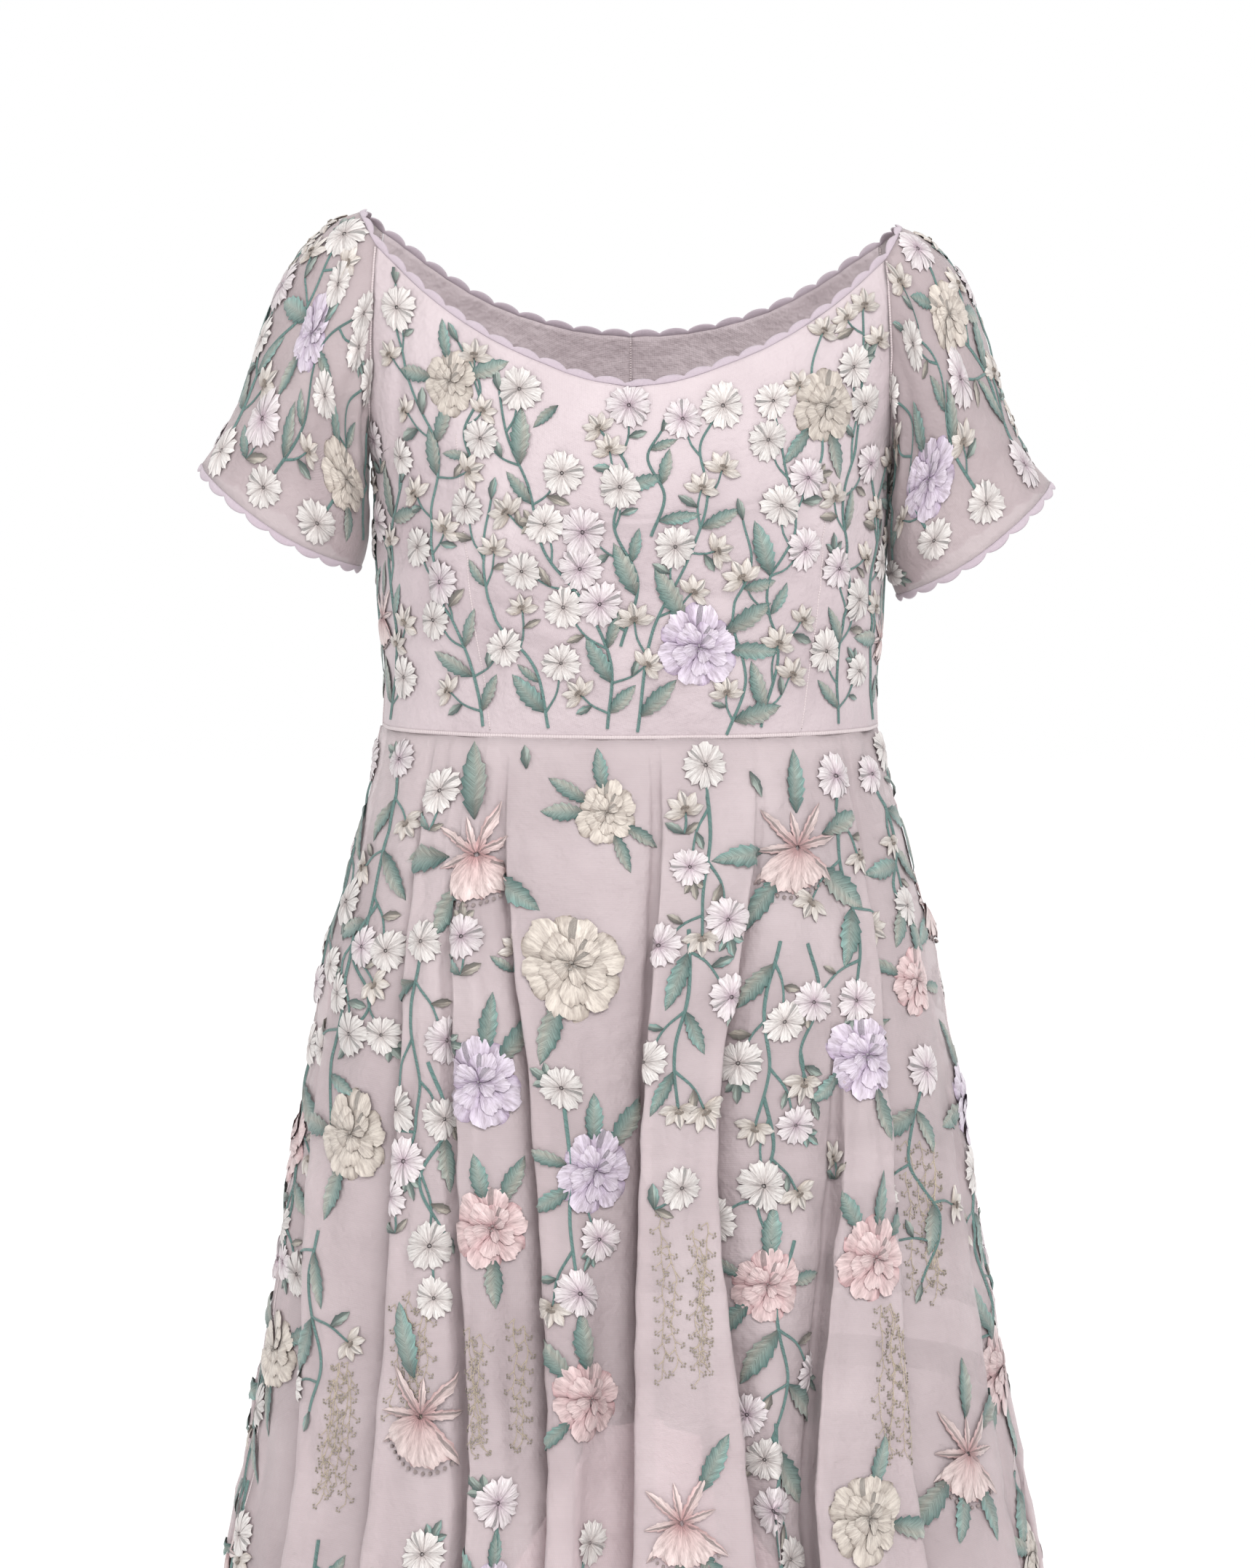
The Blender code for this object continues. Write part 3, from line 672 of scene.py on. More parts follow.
def place_valley(fold, row, drop):
    """Angle and height of one profile row of a valley at a drop."""
    shift, shift_share, depth_share, far_share, near_share = row
    deep, over, start, before, after, reach = fold[3:]
    growth = fold_growth(drop, start)
    depth = deep * growth
    far, near = (before, after) if over > 0 else (after, before)
    angle = fold_angle(fold, drop)
    aside = over * (shift + shift_share * depth) * (reach if far_share else 1.0)
    height = growth * (far_share * far + near_share * near) - depth_share * depth
    return angle + aside / section_at(SKIRT_SECTIONS, angle, drop)[2], height


def ring_plan(profile):
    """Columns round the skirt, from the centre back to the centre back: (valley, profile
    row, None), or (valley, None, share of the way across the ridge after it)."""
    last = len(FOLDS) - 1
    plan = [(last, None, 0.5), (last, None, 0.75)]
    for k, fold in enumerate(FOLDS):
        plan += [(k, row, None) for row in valley_columns(fold, profile)]
        plan += [(k, None, s) for s in RIDGE_SHARES if k < last or s <= 0.5]
    return plan


def ring_column(column, profile, drop):
    """Angle and height of one column of the ring at the given drops."""
    k, row, share = column
    fold = FOLDS[k]
    if row is not None:
        return place_valley(fold, row, drop)
    following = FOLDS[(k + 1) % len(FOLDS)]
    angle_a, height_a = place_valley(fold, valley_columns(fold, profile)[-1], drop)
    angle_b, height_b = place_valley(following, valley_columns(following, profile)[0], drop)
    if k == len(FOLDS) - 1:
        angle_b = angle_b + math.tau
    angle = angle_a + share * (angle_b - angle_a)
    growth = fold_growth(drop, 0.0)
    crown = RIDGE_CROWN * 4 * share * (1 - share) * growth
    return angle, height_a + share * (height_b - height_a) + crown


def smooth_round(points, parts):
    """Splits each step between columns into parts, along a curve through the points."""
    step = np.linalg.norm(np.diff(points, axis=1), axis=2)[..., None]
    slope = np.diff(points, axis=1) / step
    before = step[:, :-1]
    after = step[:, 1:]
    inner = (slope[:, :-1] * after + slope[:, 1:] * before) / (before + after)
    tangent = np.concatenate([slope[:, :1], inner, slope[:, -1:]], axis=1)
    leave = step * tangent[:, :-1]
    arrive = step * tangent[:, 1:]
    fine = [curve(p / parts, points[:, :-1], leave, points[:, 1:], arrive) for p in range(parts)]
    columns = np.stack(fine, axis=2).reshape(len(points), -1, 3)
    return np.concatenate([columns, points[:, -1:]], axis=1)


print("opening at the hips:", round(float(fold_growth(MID_DROP, 0.0)), 2))

# %% [markdown]
# The columns are laid round the sections, row by row, and the hem is kept as a row for each
# column of the ring.

# %% Skirt cloth
def hem_drop(angle):
    """The hem sweeps from the knee at the front down to the ankle at the back."""
    back_share = ((1.0 - np.cos(angle)) / 2) ** HEM_SWEEP
    return FRONT_HEM_DROP + (BACK_HEM_DROP - FRONT_HEM_DROP) * back_share


skirt_drops = np.linspace(WAIST_DROP, BACK_HEM_DROP, SKIRT_ROWS)
skirt_plan = ring_plan(SKIRT_PROFILE)


def folded_ring(plan, profile, inset):
    """Points [row, column] of a folded ring, set in by inset at each row."""
    columns = []
    for column in plan:
        angle, height = ring_column(column, profile, skirt_drops)
        columns.append(oval(SKIRT_SECTIONS, angle, skirt_drops, height - inset))
    return smooth_round(np.stack(columns, axis=1), PARTS_PER_COLUMN)


def plan_angles(plan, profile):
    """Angle of each of the ring's fine columns at LOW_DROP, which sets its hem."""
    low = np.full(1, LOW_DROP)
    coarse = np.unwrap(np.array([ring_column(c, profile, low)[0][0] for c in plan]))
    places = np.arange(len(coarse)) * PARTS_PER_COLUMN
    return np.interp(np.arange(places[-1] + 1), places, coarse)


skirt_hem_rows = (hem_drop(plan_angles(skirt_plan, SKIRT_PROFILE)) - WAIST_DROP) / SKIRT_STEP


def inside_skirt(row, column):
    """Whether a place lies between the waist seam and the hem."""
    hem = np.interp(column, np.arange(len(skirt_hem_rows)), skirt_hem_rows)
    return (row > 0.6) & (row < hem - 0.5)


skirt = Cloth(folded_ring(skirt_plan, SKIRT_PROFILE, 0.0), 1 / SKIRT_STEP, inside_skirt)


def ridge_places(plan, ridge):
    """The fine columns on the ridge after a valley, under their shares of the way across."""
    found = {}
    for i, (valley, _, share) in enumerate(plan):
        if valley == ridge and share and i > 1:
            found[share] = i * PARTS_PER_COLUMN
    return found


def ridge_column(ridge, share=0.5):
    """The skirt column a share of the way across the ridge after a valley."""
    found = ridge_places(skirt_plan, ridge)
    return float(np.interp(share, list(found), list(found.values())))


print("skirt cloth at the hem:", round(float(skirt.length[-1, -1]), 2), "m round")

# %% [markdown]
# The organza was pressed into its waist seam and then hung, so short tucks run down from the
# seam, long soft ridges run down the panels, and the cloth between them is a little crushed.
# Every ridge gets the same creases, each a little different.

# %% Creases of the skirt
SKIRT_CREASES_PER_RIDGE = (
    # share across the ridge, drop, half length, direction, height, half width, in mm
    (0.2, 352, 24, 92, -1.8, 3.6),
    (0.75, 348, 20, 86, 1.5, 3.8),
    (0.5, 366, 30, 88, -1.2, 4),
    (0.4, 455, 60, 94, 2.2, 6),
    (0.7, 560, 70, 88, -2.2, 6.6),
    (0.25, 610, 60, 95, 1.8, 6),
    (0.3, 690, 80, 91, 2.6, 7.5),
    (0.7, 760, 70, 86, -2.2, 7),
    (0.65, 820, 90, 93, -2.4, 9),
    (0.35, 950, 90, 89, 2.4, 10),
    (0.6, 1150, 110, 91, -2.4, 11),
    (0.5, 510, 26, 20, -0.5, 5),
    (0.45, 625, 30, -24, 0.5, 5),
    (0.55, 745, 30, 30, -0.6, 5.5),
)
draw = np.random.default_rng(11)
middle = ridge_column(7)
rows = []
for ridge in range(len(FOLDS) - 1):
    for share, drop, reach, turn, height, width in SKIRT_CREASES_PER_RIDGE:
        place = drop + draw.uniform(-20, 20)
        column = ridge_column(ridge, min(max(share + draw.uniform(-0.12, 0.12), 0.25), 0.75))
        row = np.clip((place * MM - WAIST_DROP) / SKIRT_STEP, 0, SKIRT_ROWS - 1)
        here, centre = skirt.mix(skirt.length[..., None], row, np.array([column, middle]))[:, 0]
        size = height * draw.uniform(0.5, 1.2)
        reach = reach * draw.uniform(0.7, 1.2)
        rows.append(((here - centre) / MM, place, reach, turn + draw.uniform(-5, 5), size, width))
crease(skirt, rows, middle, WAIST_DROP)
ripple(skirt, 0.0004, 0.034, 8)
print("creases on the skirt:", len(rows))

# %% [markdown]
# The lining is cut shorter, follows the same folds more loosely and lies inside the
# organza. Its hem dips from the front to the back, and shows through the organza as an edge.

# %% Lining cloth
LINING_INSET_TOP = 0.0026
LINING_INSET = 0.0086
LINING_REACH = 0.130
# Length of cloth round from the centre front at LOW_DROP, drop of the hem
LINING_HEM = (
    (-1.5, 1.22),
    (-0.65, 1.06),
    (-0.3, 0.93),
    (-0.13, 0.81),
    (-0.055, 0.728),
    (0, 0.724),
    (0.085, 0.726),
    (0.185, 0.808),
    (0.35, 0.93),
    (0.7, 1.06),
    (1.5, 1.22),
)
lining_depth = np.clip((skirt_drops - WAIST_DROP) / LINING_REACH, 0.0, 1.0)
lining_inset = LINING_INSET_TOP + (LINING_INSET - LINING_INSET_TOP) * lining_depth
lining_plan = ring_plan(LINING_PROFILE)
lining = Cloth(folded_ring(lining_plan, LINING_PROFILE, lining_inset), 1 / SKIRT_STEP, everywhere)
low_row = int(round((LOW_DROP - WAIST_DROP) / SKIRT_STEP))
low_ring = lining.points[low_row]
lining_middle = int(np.argmin(np.where(low_ring[:, 1] < 0.0, np.abs(low_ring[:, 0]), 9.0)))
lining_round = lining.length[low_row] - lining.length[low_row, lining_middle]
lining_hem_rows = (read_table(LINING_HEM, lining_round)[0] - WAIST_DROP) / SKIRT_STEP
print("lining hem drops from", round(float(read_table(LINING_HEM, 0.0)[0]), 3), "m")

# %% [markdown]
# ## Shader helper
# A finish is a Principled shader with a few patterns in front of it. Patterns are sums and
# products, so a small class lets Python's own operators add the Math nodes.

# %% Shader helper
class Value:
    """A socket that can be added, multiplied and so on."""

    def __init__(self, finish, socket):
        self.finish = finish
        self.socket = socket

    def math(self, operation, first, second):
        node = self.finish.node("ShaderNodeMath", {"operation": operation}, {0: first, 1: second})
        return Value(self.finish, node.outputs[0])

    def __add__(self, other):
        return self.math("ADD", self, other)

    __radd__ = __add__

    def __sub__(self, other):
        return self.math("SUBTRACT", self, other)

    def __mul__(self, other):
        return self.math("MULTIPLY", self, other)


class Finish:
    """A material under construction: one Principled shader and what feeds it."""

    def __init__(self, name, **settings):
        self.material = bpy.data.materials.new(name)
        self.material.use_nodes = True
        self.nodes = self.material.node_tree.nodes
        self.links = self.material.node_tree.links
        self.shader = self.nodes["Principled BSDF"]
        for key, value in settings.items():
            self.shader.inputs[key.replace("_", " ")].default_value = value

    def node(self, kind, settings=None, inputs=None):
        """A node of a type, with its settings first and then its inputs."""
        made = self.nodes.new(kind)
        for key, value in (settings or {}).items():
            setattr(made, key, value)
        for key, value in (inputs or {}).items():
            self.set_input(made.inputs[key], value)
        return made

    def set_input(self, socket, value):
        """Links a socket or a Value, or sets a number or a colour."""
        if isinstance(value, Value):
            self.links.new(value.socket, socket)
        elif isinstance(value, bpy.types.NodeSocket):
            self.links.new(value, socket)
        else:
            socket.default_value = value

    def lengths(self):
        """A piece's own lengths of cloth or thread."""
        return self.node("ShaderNodeUVMap", {"uv_map": "lengths"}).outputs[0]

    def part(self, vector, axis):
        """One part of a vector."""
        return Value(self, self.node("ShaderNodeSeparateXYZ", {}, {0: vector}).outputs[axis])

    def mix(self, factor, first, second):
        """A colour between two colours."""
        made = self.node("ShaderNodeMix", {"data_type": "RGBA"}, {0: factor, 6: first, 7: second})
        return made.outputs[2]

    def scaled(self, vector, scale):
        made = self.node("ShaderNodeVectorMath", {"operation": "MULTIPLY"}, {0: vector, 1: scale})
        return made.outputs[0]

    def noise(self, vector, scale, detail=2.0, roughness=0.5):
        inputs = {"Vector": vector, "Scale": scale, "Detail": detail, "Roughness": roughness}
        return Value(self, self.node("ShaderNodeTexNoise", {}, inputs).outputs[0])

    def wave(self, number):
        """A sine of a number, from 0 to 1."""
        sine = self.node("ShaderNodeMath", {"operation": "SINE"}, {0: number})
        return Value(self, sine.outputs[0]) * 0.5 + 0.5

    def feed(self, **sockets):
        for key, value in sockets.items():
            self.set_input(self.shader.inputs[key.replace("_", " ")], value)

    def bump(self, height, distance):
        inputs = {"Height": height, "Distance": distance, "Strength": 1.0}
        self.feed(Normal=self.node("ShaderNodeBump", {}, inputs).outputs[0])


print("shader helper ready")

# %% [markdown]
# ## Organza and lining finishes
# Organza is a thin, stiff plain weave. It shines softly, and what lies under it shows
# through. The weave is a sine across and a sine along the cloth, read from the cloth's own
# lengths in its UV map, so it stays the same size in every fold. Slow noise gives the
# cloudy look of two layers, and a crushed look comes from a bump. Painted light makes the
# bodice and the skirt paler towards the top. The lining is one cloth in two copies: painted
# shade darkens the front's, and painted light brightens the back's.

# %% Organza and lining
WEAVE_PITCH = 0.0007
CLOUD_SCALE = 11.0
SLUB_SCALE = (40.0, 900.0, 1.0)
CRUSH_SCALE = 70.0
BUST_DROP = 0.22


def cloth_finish(name, pale, deep, alpha, roughness, crush, painted_light_up, sheen):
    """A woven finish: pale and deep colours, the share of light it stops, its bump, and how
    much paler painted light makes it for each metre up."""
    finish = Finish(name, Roughness=roughness, Sheen_Roughness=0.4, Sheen_Weight=sheen)
    lengths = finish.lengths()
    place = finish.node("ShaderNodeTexCoord").outputs["Object"]
    turns = math.tau / WEAVE_PITCH
    warp = finish.wave(finish.part(lengths, 0) * turns)
    weft = finish.wave(finish.part(lengths, 1) * turns)
    weave = warp * 0.5 + weft * 0.5
    clouds = finish.noise(place, CLOUD_SCALE, 3.0, 0.55) * 2.2 - 0.6
    slubs = finish.noise(finish.scaled(lengths, SLUB_SCALE), 1.0, 2.0)
    # Painted light: the cloth gets paler for each metre above the bust and darker below it.
    height = finish.part(place, 2) + BUST_DROP
    tone = clouds * 0.75 + slubs * 0.15 + weave * 0.10 + height * painted_light_up
    finish.feed(Base_Color=finish.mix(tone, (*deep, 1.0), (*pale, 1.0)))
    if alpha < 1.0:
        finish.feed(Alpha=alpha - 0.04 + weave * 0.05 + clouds * 0.03)
    crushed = finish.noise(place, CRUSH_SCALE, 3.0, 0.6)
    finish.bump(crushed * crush + weave * 0.04, 0.004)
    return finish.material


# Pale, deep, share of light stopped, roughness, bump, paler for each metre up by painted light, sheen
CLOTH_FINISHES = {
    "bodice_organza": ((0.58, 0.497, 0.515), (0.40, 0.325, 0.345), 1.0, 0.5, 0.80, 2.0, 0.2),
    "sheer_organza": ((0.80, 0.69, 0.705), (0.60, 0.50, 0.515), 0.47, 0.42, 0.80, 0.5, 0.2),
    "sleeve_organza": ((0.56, 0.472, 0.480), (0.395, 0.32, 0.332), 0.70, 0.4, 0.80, 0.0, 0.2),
    # The lining is one cloth in two copies: painted shade darkens the front's, painted light brightens
    # the back's.
    "lining_front_painted_shade": ((0.17, 0.142, 0.147), (0.14, 0.115, 0.12), 1.0, 0.5, 0.15, 0.0, 0.1),
    "lining_back_painted_light": ((0.92, 0.73, 0.76), (0.84, 0.65, 0.68), 1.0, 0.5, 0.15, 0.0, 0.1),
}
cloths = {name: cloth_finish(name, *row) for name, row in CLOTH_FINISHES.items()}
print("cloth finishes made")

# %% [markdown]
# ## Cloth panels
# A panel is an open sheet laid on its cloth's grid, given a wall of a third of a millimetre
# inwards. Its UV map holds lengths in metres.

# %% Sheets on a grid
CLOTH_WALL = 0.00035


def add_piece(name, mesh, material, lengths):
    """A smooth piece made of a mesh, which keeps lengths of cloth or thread as its UV map."""
    loops = np.zeros(len(mesh.loops), dtype=np.int32)
    mesh.loops.foreach_get("vertex_index", loops)
    mesh.uv_layers.new(name="lengths").data.foreach_set("uv", lengths[loops].ravel())
    mesh.shade_smooth()
    mesh.materials.append(material)
    piece = bpy.data.objects.new(name, mesh)
    bpy.context.scene.collection.objects.link(piece)
    return piece


def grid_sheet(name, points, material, closed=False):
    """A sheet of quads on a grid [row, column] of points."""
    rows, columns = points.shape[:2]
    last = columns if closed else columns - 1
    r, c = np.meshgrid(np.arange(rows - 1), np.arange(last), indexing="ij")
    upper = r * columns
    lower = upper + columns
    d = (c + 1) % columns
    quads = np.stack([upper + c, lower + c, lower + d, upper + d], axis=-1)
    mesh = bpy.data.meshes.new(name)
    mesh.from_pydata(points.reshape(-1, 3).tolist(), [], quads.reshape(-1, 4).tolist())
    across = lengths_along(np.swapaxes(points, 0, 1)).T
    lengths = np.stack([across, lengths_along(points)], axis=-1).reshape(-1, 2)
    return add_piece(name, mesh, material, lengths)


def make_panel(node, points, material, closed=False):
    """A cloth panel that stands for its solid."""
    piece = grid_sheet(f"{node}_cloth", points, material, closed)
    wall = piece.modifiers.new("Wall", "SOLIDIFY")
    wall.thickness = CLOTH_WALL
    wall.offset = -1.0
    bpy.ops.object.select_all(action="DESELECT")
    bpy.context.view_layer.objects.active = piece
    piece.select_set(True)
    bpy.ops.object.modifier_apply(modifier=wall.name)
    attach(piece, "root")
    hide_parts(node)


print("wall of a panel:", CLOTH_WALL, "m")

# %% [markdown]
# The bodice is cut in three. A panel's rows run from the neckline down to the waist, and its
# columns from side to side. Each sleeve is one closed panel.

# %% Bodice and sleeve panels
BODICE_PANEL_ROWS = 76


def neck_drop(across, back):
    """Drop of the neckline above a share of the panel's width, found by repetition."""
    drop = np.full(np.shape(across), 0.06)
    for _ in range(40):
        half = read_table(BODY_SECTIONS, drop)[0]
        reach = half * np.sin(np.abs(across) * edge_angle(drop, back))
        drop = read_table(NECKLINE, reach)[1 if back else 0]
    return drop


def bodice_place(across, up, back):
    """Row and column of a place on a bodice panel: across runs from 0 at the middle to 1
    at the side, up from 0 at the waist to 1 at the neckline."""
    top = neck_drop(across, back)
    drop = WAIST_DROP + up * (top - WAIST_DROP)
    angle = across * edge_angle(drop, back)
    if back:
        angle = np.where(across > 0, math.pi - angle, -math.pi - angle)
    return drop_row(drop), angle_column(angle)


def bodice_panel(node, across, back):
    """Cuts a bodice panel between two shares of the width."""
    up = np.linspace(1.0, 0.0, BODICE_PANEL_ROWS)
    grid = np.meshgrid(across, up)
    row, column = bodice_place(grid[0], grid[1], back)
    points = bodice.look(row, column)
    make_panel(node, points, cloths["bodice_organza"])


bodice_panel("bodice_front", np.linspace(-1.0, 1.0, 121), False)
bodice_panel("bodice_back_left", np.linspace(1.0, 0.0003, 61), True)
bodice_panel("bodice_back_right", np.linspace(-0.0003, -1.0, 61), True)
for side, cloth in sleeves.items():
    points = cloth.points[::2, :-1:2]
    finish = cloths["sleeve_organza"]
    make_panel(f"sleeve_{side}", points, finish, True)

# %% [markdown]
# The skirt is cut at two side seams and the centre back. A panel's rows run from the waist
# to its own hem, so the front is short and the back is long. Columns are closest in the
# folds, where the cloth turns sharply.

# %% Skirt and lining panels
SIDE_SEAMS = (3, 12)
SKIRT_PANEL_ROWS = 84
LINING_PANEL_ROWS = 56
PANEL_STEP = 1.6


def hung_panel(node, cloth, hem_rows, columns, row_count, material):
    """A panel between two columns, from the waist to the hem."""
    share = np.linspace(0.0, 1.0, row_count)
    hem = np.interp(columns, np.arange(len(hem_rows)), hem_rows)
    rows = share[:, None] * hem[None, :]
    points = cloth.look(rows, np.broadcast_to(columns, rows.shape))
    make_panel(node, points, material)


def side_columns(plan):
    """The fine columns of the right and the left side seam."""
    return [ridge_places(plan, ridge)[0.5] for ridge in SIDE_SEAMS]


def panel_columns(plan, step):
    """Columns of the back right, front and back left panels, step apart."""
    last = (len(plan) - 1) * PARTS_PER_COLUMN
    ends = [0, *side_columns(plan), last]
    return [np.linspace(a, b, round((b - a) / step) + 1) for a, b in zip(ends[:-1], ends[1:])]


PANEL_NAMES = ("back_right", "front", "back_left")
for name, columns in zip(PANEL_NAMES, panel_columns(skirt_plan, PANEL_STEP)):
    hung_panel(f"skirt_{name}", skirt, skirt_hem_rows, columns, SKIRT_PANEL_ROWS,
               cloths["sheer_organza"])
for name, columns in zip(PANEL_NAMES, panel_columns(lining_plan, PANEL_STEP)):
    # The front lining gets the painted-shade copy, the back panels the painted-light copy.
    finish = cloths["lining_front_painted_shade" if name == "front" else "lining_back_painted_light"]
    hung_panel(f"lining_{name}", lining, lining_hem_rows, columns, LINING_PANEL_ROWS,
               finish)

# %% [markdown]
# ## Edgings and seams
# A scalloped satin-stitched edge runs round the neck and both sleeve hems. It is modelled as
# a flat oval section carried along the edge, wider at each scallop. Seams are slim rolls of
# the same kind: the waist seam, the armholes, the sides, the centre back, the darts and the
# hems. A cloth gown's seams have no other thickness that shows.

# %% Rolls along a path
ROLL_SIDES = 8


def unit(vectors):
    """Vectors at unit length."""
    return vectors / np.linalg.norm(vectors, axis=-1)[..., None]


def even_path(points, others, step_count):
    """Evenly spaced points of a path, and what goes with them."""
    length = lengths_along(points)
    wanted = np.linspace(0.0, length[-1], step_count + 1)
    both = np.concatenate([points, others], axis=1)
    even = np.stack([np.interp(wanted, length, line) for line in both.T], axis=1)
    return even[:, :3], even[:, 3:]


def roll(name, middle, wide, thick, material, closed):
    """A roll whose section has the half axes wide and thick at each point of its middle."""
    turns = np.linspace(0.0, math.tau, ROLL_SIDES, endpoint=False)
    rings = middle[:, None] + np.cos(turns)[:, None] * wide[:, None]
    rings = rings + np.sin(turns)[:, None] * thick[:, None]
    along = np.gradient(middle, axis=0)
    if np.sum(np.cross(wide, thick) * along) > 0.0:
        rings = rings[:, ::-1]
    count = len(rings)
    last = count if closed else count - 1
    faces = []
    for r in range(last):
        this = r * ROLL_SIDES
        following = (r + 1) % count * ROLL_SIDES
        for c in range(ROLL_SIDES):
            d = (c + 1) % ROLL_SIDES
            faces.append((this + c, following + c, following + d, this + d))
    if not closed:
        faces.append(tuple(range(ROLL_SIDES)))
        faces.append(tuple((count - 1) * ROLL_SIDES + c for c in range(ROLL_SIDES))[::-1])
    mesh = bpy.data.meshes.new(name)
    mesh.from_pydata(rings.reshape(-1, 3).tolist(), [], faces)
    run = lengths_along(middle)[:, None]
    lengths = np.stack(np.broadcast_arrays(run, turns * MM), axis=-1).reshape(-1, 2)
    piece = add_piece(name, mesh, material, lengths)
    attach(piece, "root")
    return piece


print("sides of a roll:", ROLL_SIDES)

# %% [markdown]
# Satin stitch lies side by side across the edge, each thread half a millimetre wide. A wave
# read along the edge gives the threads their rounded backs in the bump, and painted shade
# between them in the colour.

# %% Edging finish
def edging_finish(name, pale, deep, pitch):
    """Threads side by side along a roll."""
    finish = Finish(name, Roughness=0.42, Sheen_Weight=0.2)
    lengths = finish.lengths()
    threads = finish.wave(finish.part(lengths, 0) * (math.tau / pitch))
    uneven = finish.noise(finish.scaled(lengths, (900.0, 300.0, 1.0)), 1.0, 2.0)
    # Painted shade: the colour is darker between the rounded threads.
    tone = threads * 0.6 + uneven * 0.4
    finish.feed(Base_Color=finish.mix(tone, (*deep, 1.0), (*pale, 1.0)))
    finish.bump(threads * 0.7 + uneven * 0.3, 0.0004)
    return finish.material


edging_satin = edging_finish("edging_satin", (0.70, 0.60, 0.66), (0.50, 0.40, 0.47), 0.0005)
seam_cloth = edging_finish("seam_cloth", (0.58, 0.50, 0.505), (0.50, 0.42, 0.43), 0.0016)
print("edging and seam finishes made")

# %% [markdown]
# The neckline runs over both sleeve tops and is open at the centre back. The number of
# scallops comes from the length of the edge.

# %% Scalloped edgings
SCALLOP_PITCH = 0.0185
EDGING_GAP = -0.0007
EDGING_BAND = 0.0022
SCALLOP_DEPTH = 0.0028
EDGING_HALF_THICK = 0.0007
POINTS_PER_SCALLOP = 10
NECK_STEP = 0.003


def square_to(direction, path):
    """The direction with its part along the path taken out, at unit length."""
    along = unit(np.gradient(path, axis=0))
    return unit(direction - np.sum(direction * along, axis=1)[:, None] * along)


def scalloped_edge(node, edge, inner, closed):
    """The satin edge that stands for its solid, outside an edge of the cloth."""
    count = round(float(lengths_along(edge)[-1]) / SCALLOP_PITCH)
    path, inside = even_path(edge, inner, count * POINTS_PER_SCALLOP)
    outward = square_to(path - inside, path)
    phase = np.arange(len(path)) / POINTS_PER_SCALLOP
    half = (EDGING_BAND + SCALLOP_DEPTH * np.abs(np.sin(math.pi * phase)) ** 0.7) / 2
    across = unit(np.cross(unit(np.gradient(path, axis=0)), outward))
    middle = path + (EDGING_GAP + half)[:, None] * outward
    wide = half[:, None] * outward
    thick = EDGING_HALF_THICK * across
    if closed:
        middle, wide, thick = middle[:-1], wide[:-1], thick[:-1]
    piece = roll(f"{node}_satin", middle, wide, thick, edging_satin, closed)
    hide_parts(node)
    print(node, count, "scallops")


def sleeve_column(side, turn):
    """The sleeve column at a turn."""
    share = 0.5 - turn if SLEEVES[side][0] > 0 else turn + 0.5
    return share * (SLEEVE_COLUMNS - 1)


def neck_side(side, inward):
    """Half of the neckline, from the centre back over the shoulder to the centre front."""
    sign = SLEEVES[side][0]
    share = np.linspace(0.0004, 1.0, 90)
    up = np.full(90, 1.0 - inward / (WAIST_DROP - NECKLINE[0][1]))
    back = bodice.look(*bodice_place(sign * share, up, True))
    turns = np.linspace(-SHOULDER_PART, SHOULDER_PART, 40)[1:-1]
    over = sleeves[side].look(inward * sleeves[side].rows_per_metre, sleeve_column(side, turns))
    front = bodice.look(*bodice_place(sign * share[::-1], up, False))
    return np.concatenate([back, over, front])


def neck_line(inward):
    """The whole neckline, from the centre back round by the wearer's right."""
    return np.concatenate([neck_side("right", inward), neck_side("left", inward)[::-1]])


scalloped_edge("neckline_edging", neck_line(0.0), neck_line(NECK_STEP), False)
for side, cloth in sleeves.items():
    scalloped_edge(f"sleeve_edging_{side}", cloth.points[-1], cloth.points[-3], True)

# %% [markdown]
# The seams follow rows and columns of the cloths. The waist seam is pressed up and stands
# out a little more than the others. The darts are only fine stitched lines.

# %% Seams
def seam(name, cloth, rows, columns, half_wide, half_thick, closed=False):
    """A slim roll along a line on a cloth."""
    rows, columns = np.broadcast_arrays(np.asarray(rows, float), np.asarray(columns, float))
    path = cloth.look(rows, columns)
    out = unit(cloth.look(rows, columns, MM) - path)
    if closed:
        path, out = path[:-1], out[:-1]
    side = unit(np.cross(unit(np.gradient(path, axis=0)), out))
    wide = half_wide * side
    thick = half_thick * out
    roll(name, path, wide, thick, seam_cloth, closed)


last_row = BODICE_ROWS - 1
waist_columns = np.linspace(0, BODICE_COLUMNS - 1, 321)
seam("waist_seam", bodice, last_row - 0.4, waist_columns, 0.0012, 0.0007, True)
for side in SLEEVES:
    turns = np.linspace(SHOULDER_PART, 1.0 - SHOULDER_PART, 90)
    turns = np.where(turns > 0.5, turns - 1.0, turns)
    columns = np.clip(sleeve_column(side, turns), 0, SLEEVE_COLUMNS - 1)
    seam(f"armhole_seam_{side}", sleeves[side], 0.4, columns, 0.0007, 0.0006)
    down = np.linspace(drop_row(UNDERARM_DROP), last_row, 50)
    column = angle_column(SLEEVES[side][0] * math.pi / 2)
    seam(f"bodice_side_seam_{side}", bodice, down, column, 0.0006, 0.0006)
back_down = np.linspace(drop_row(0.080), last_row, 70)
seam("bodice_back_seam", bodice, back_down, 0.0, 0.0007, 0.0006)

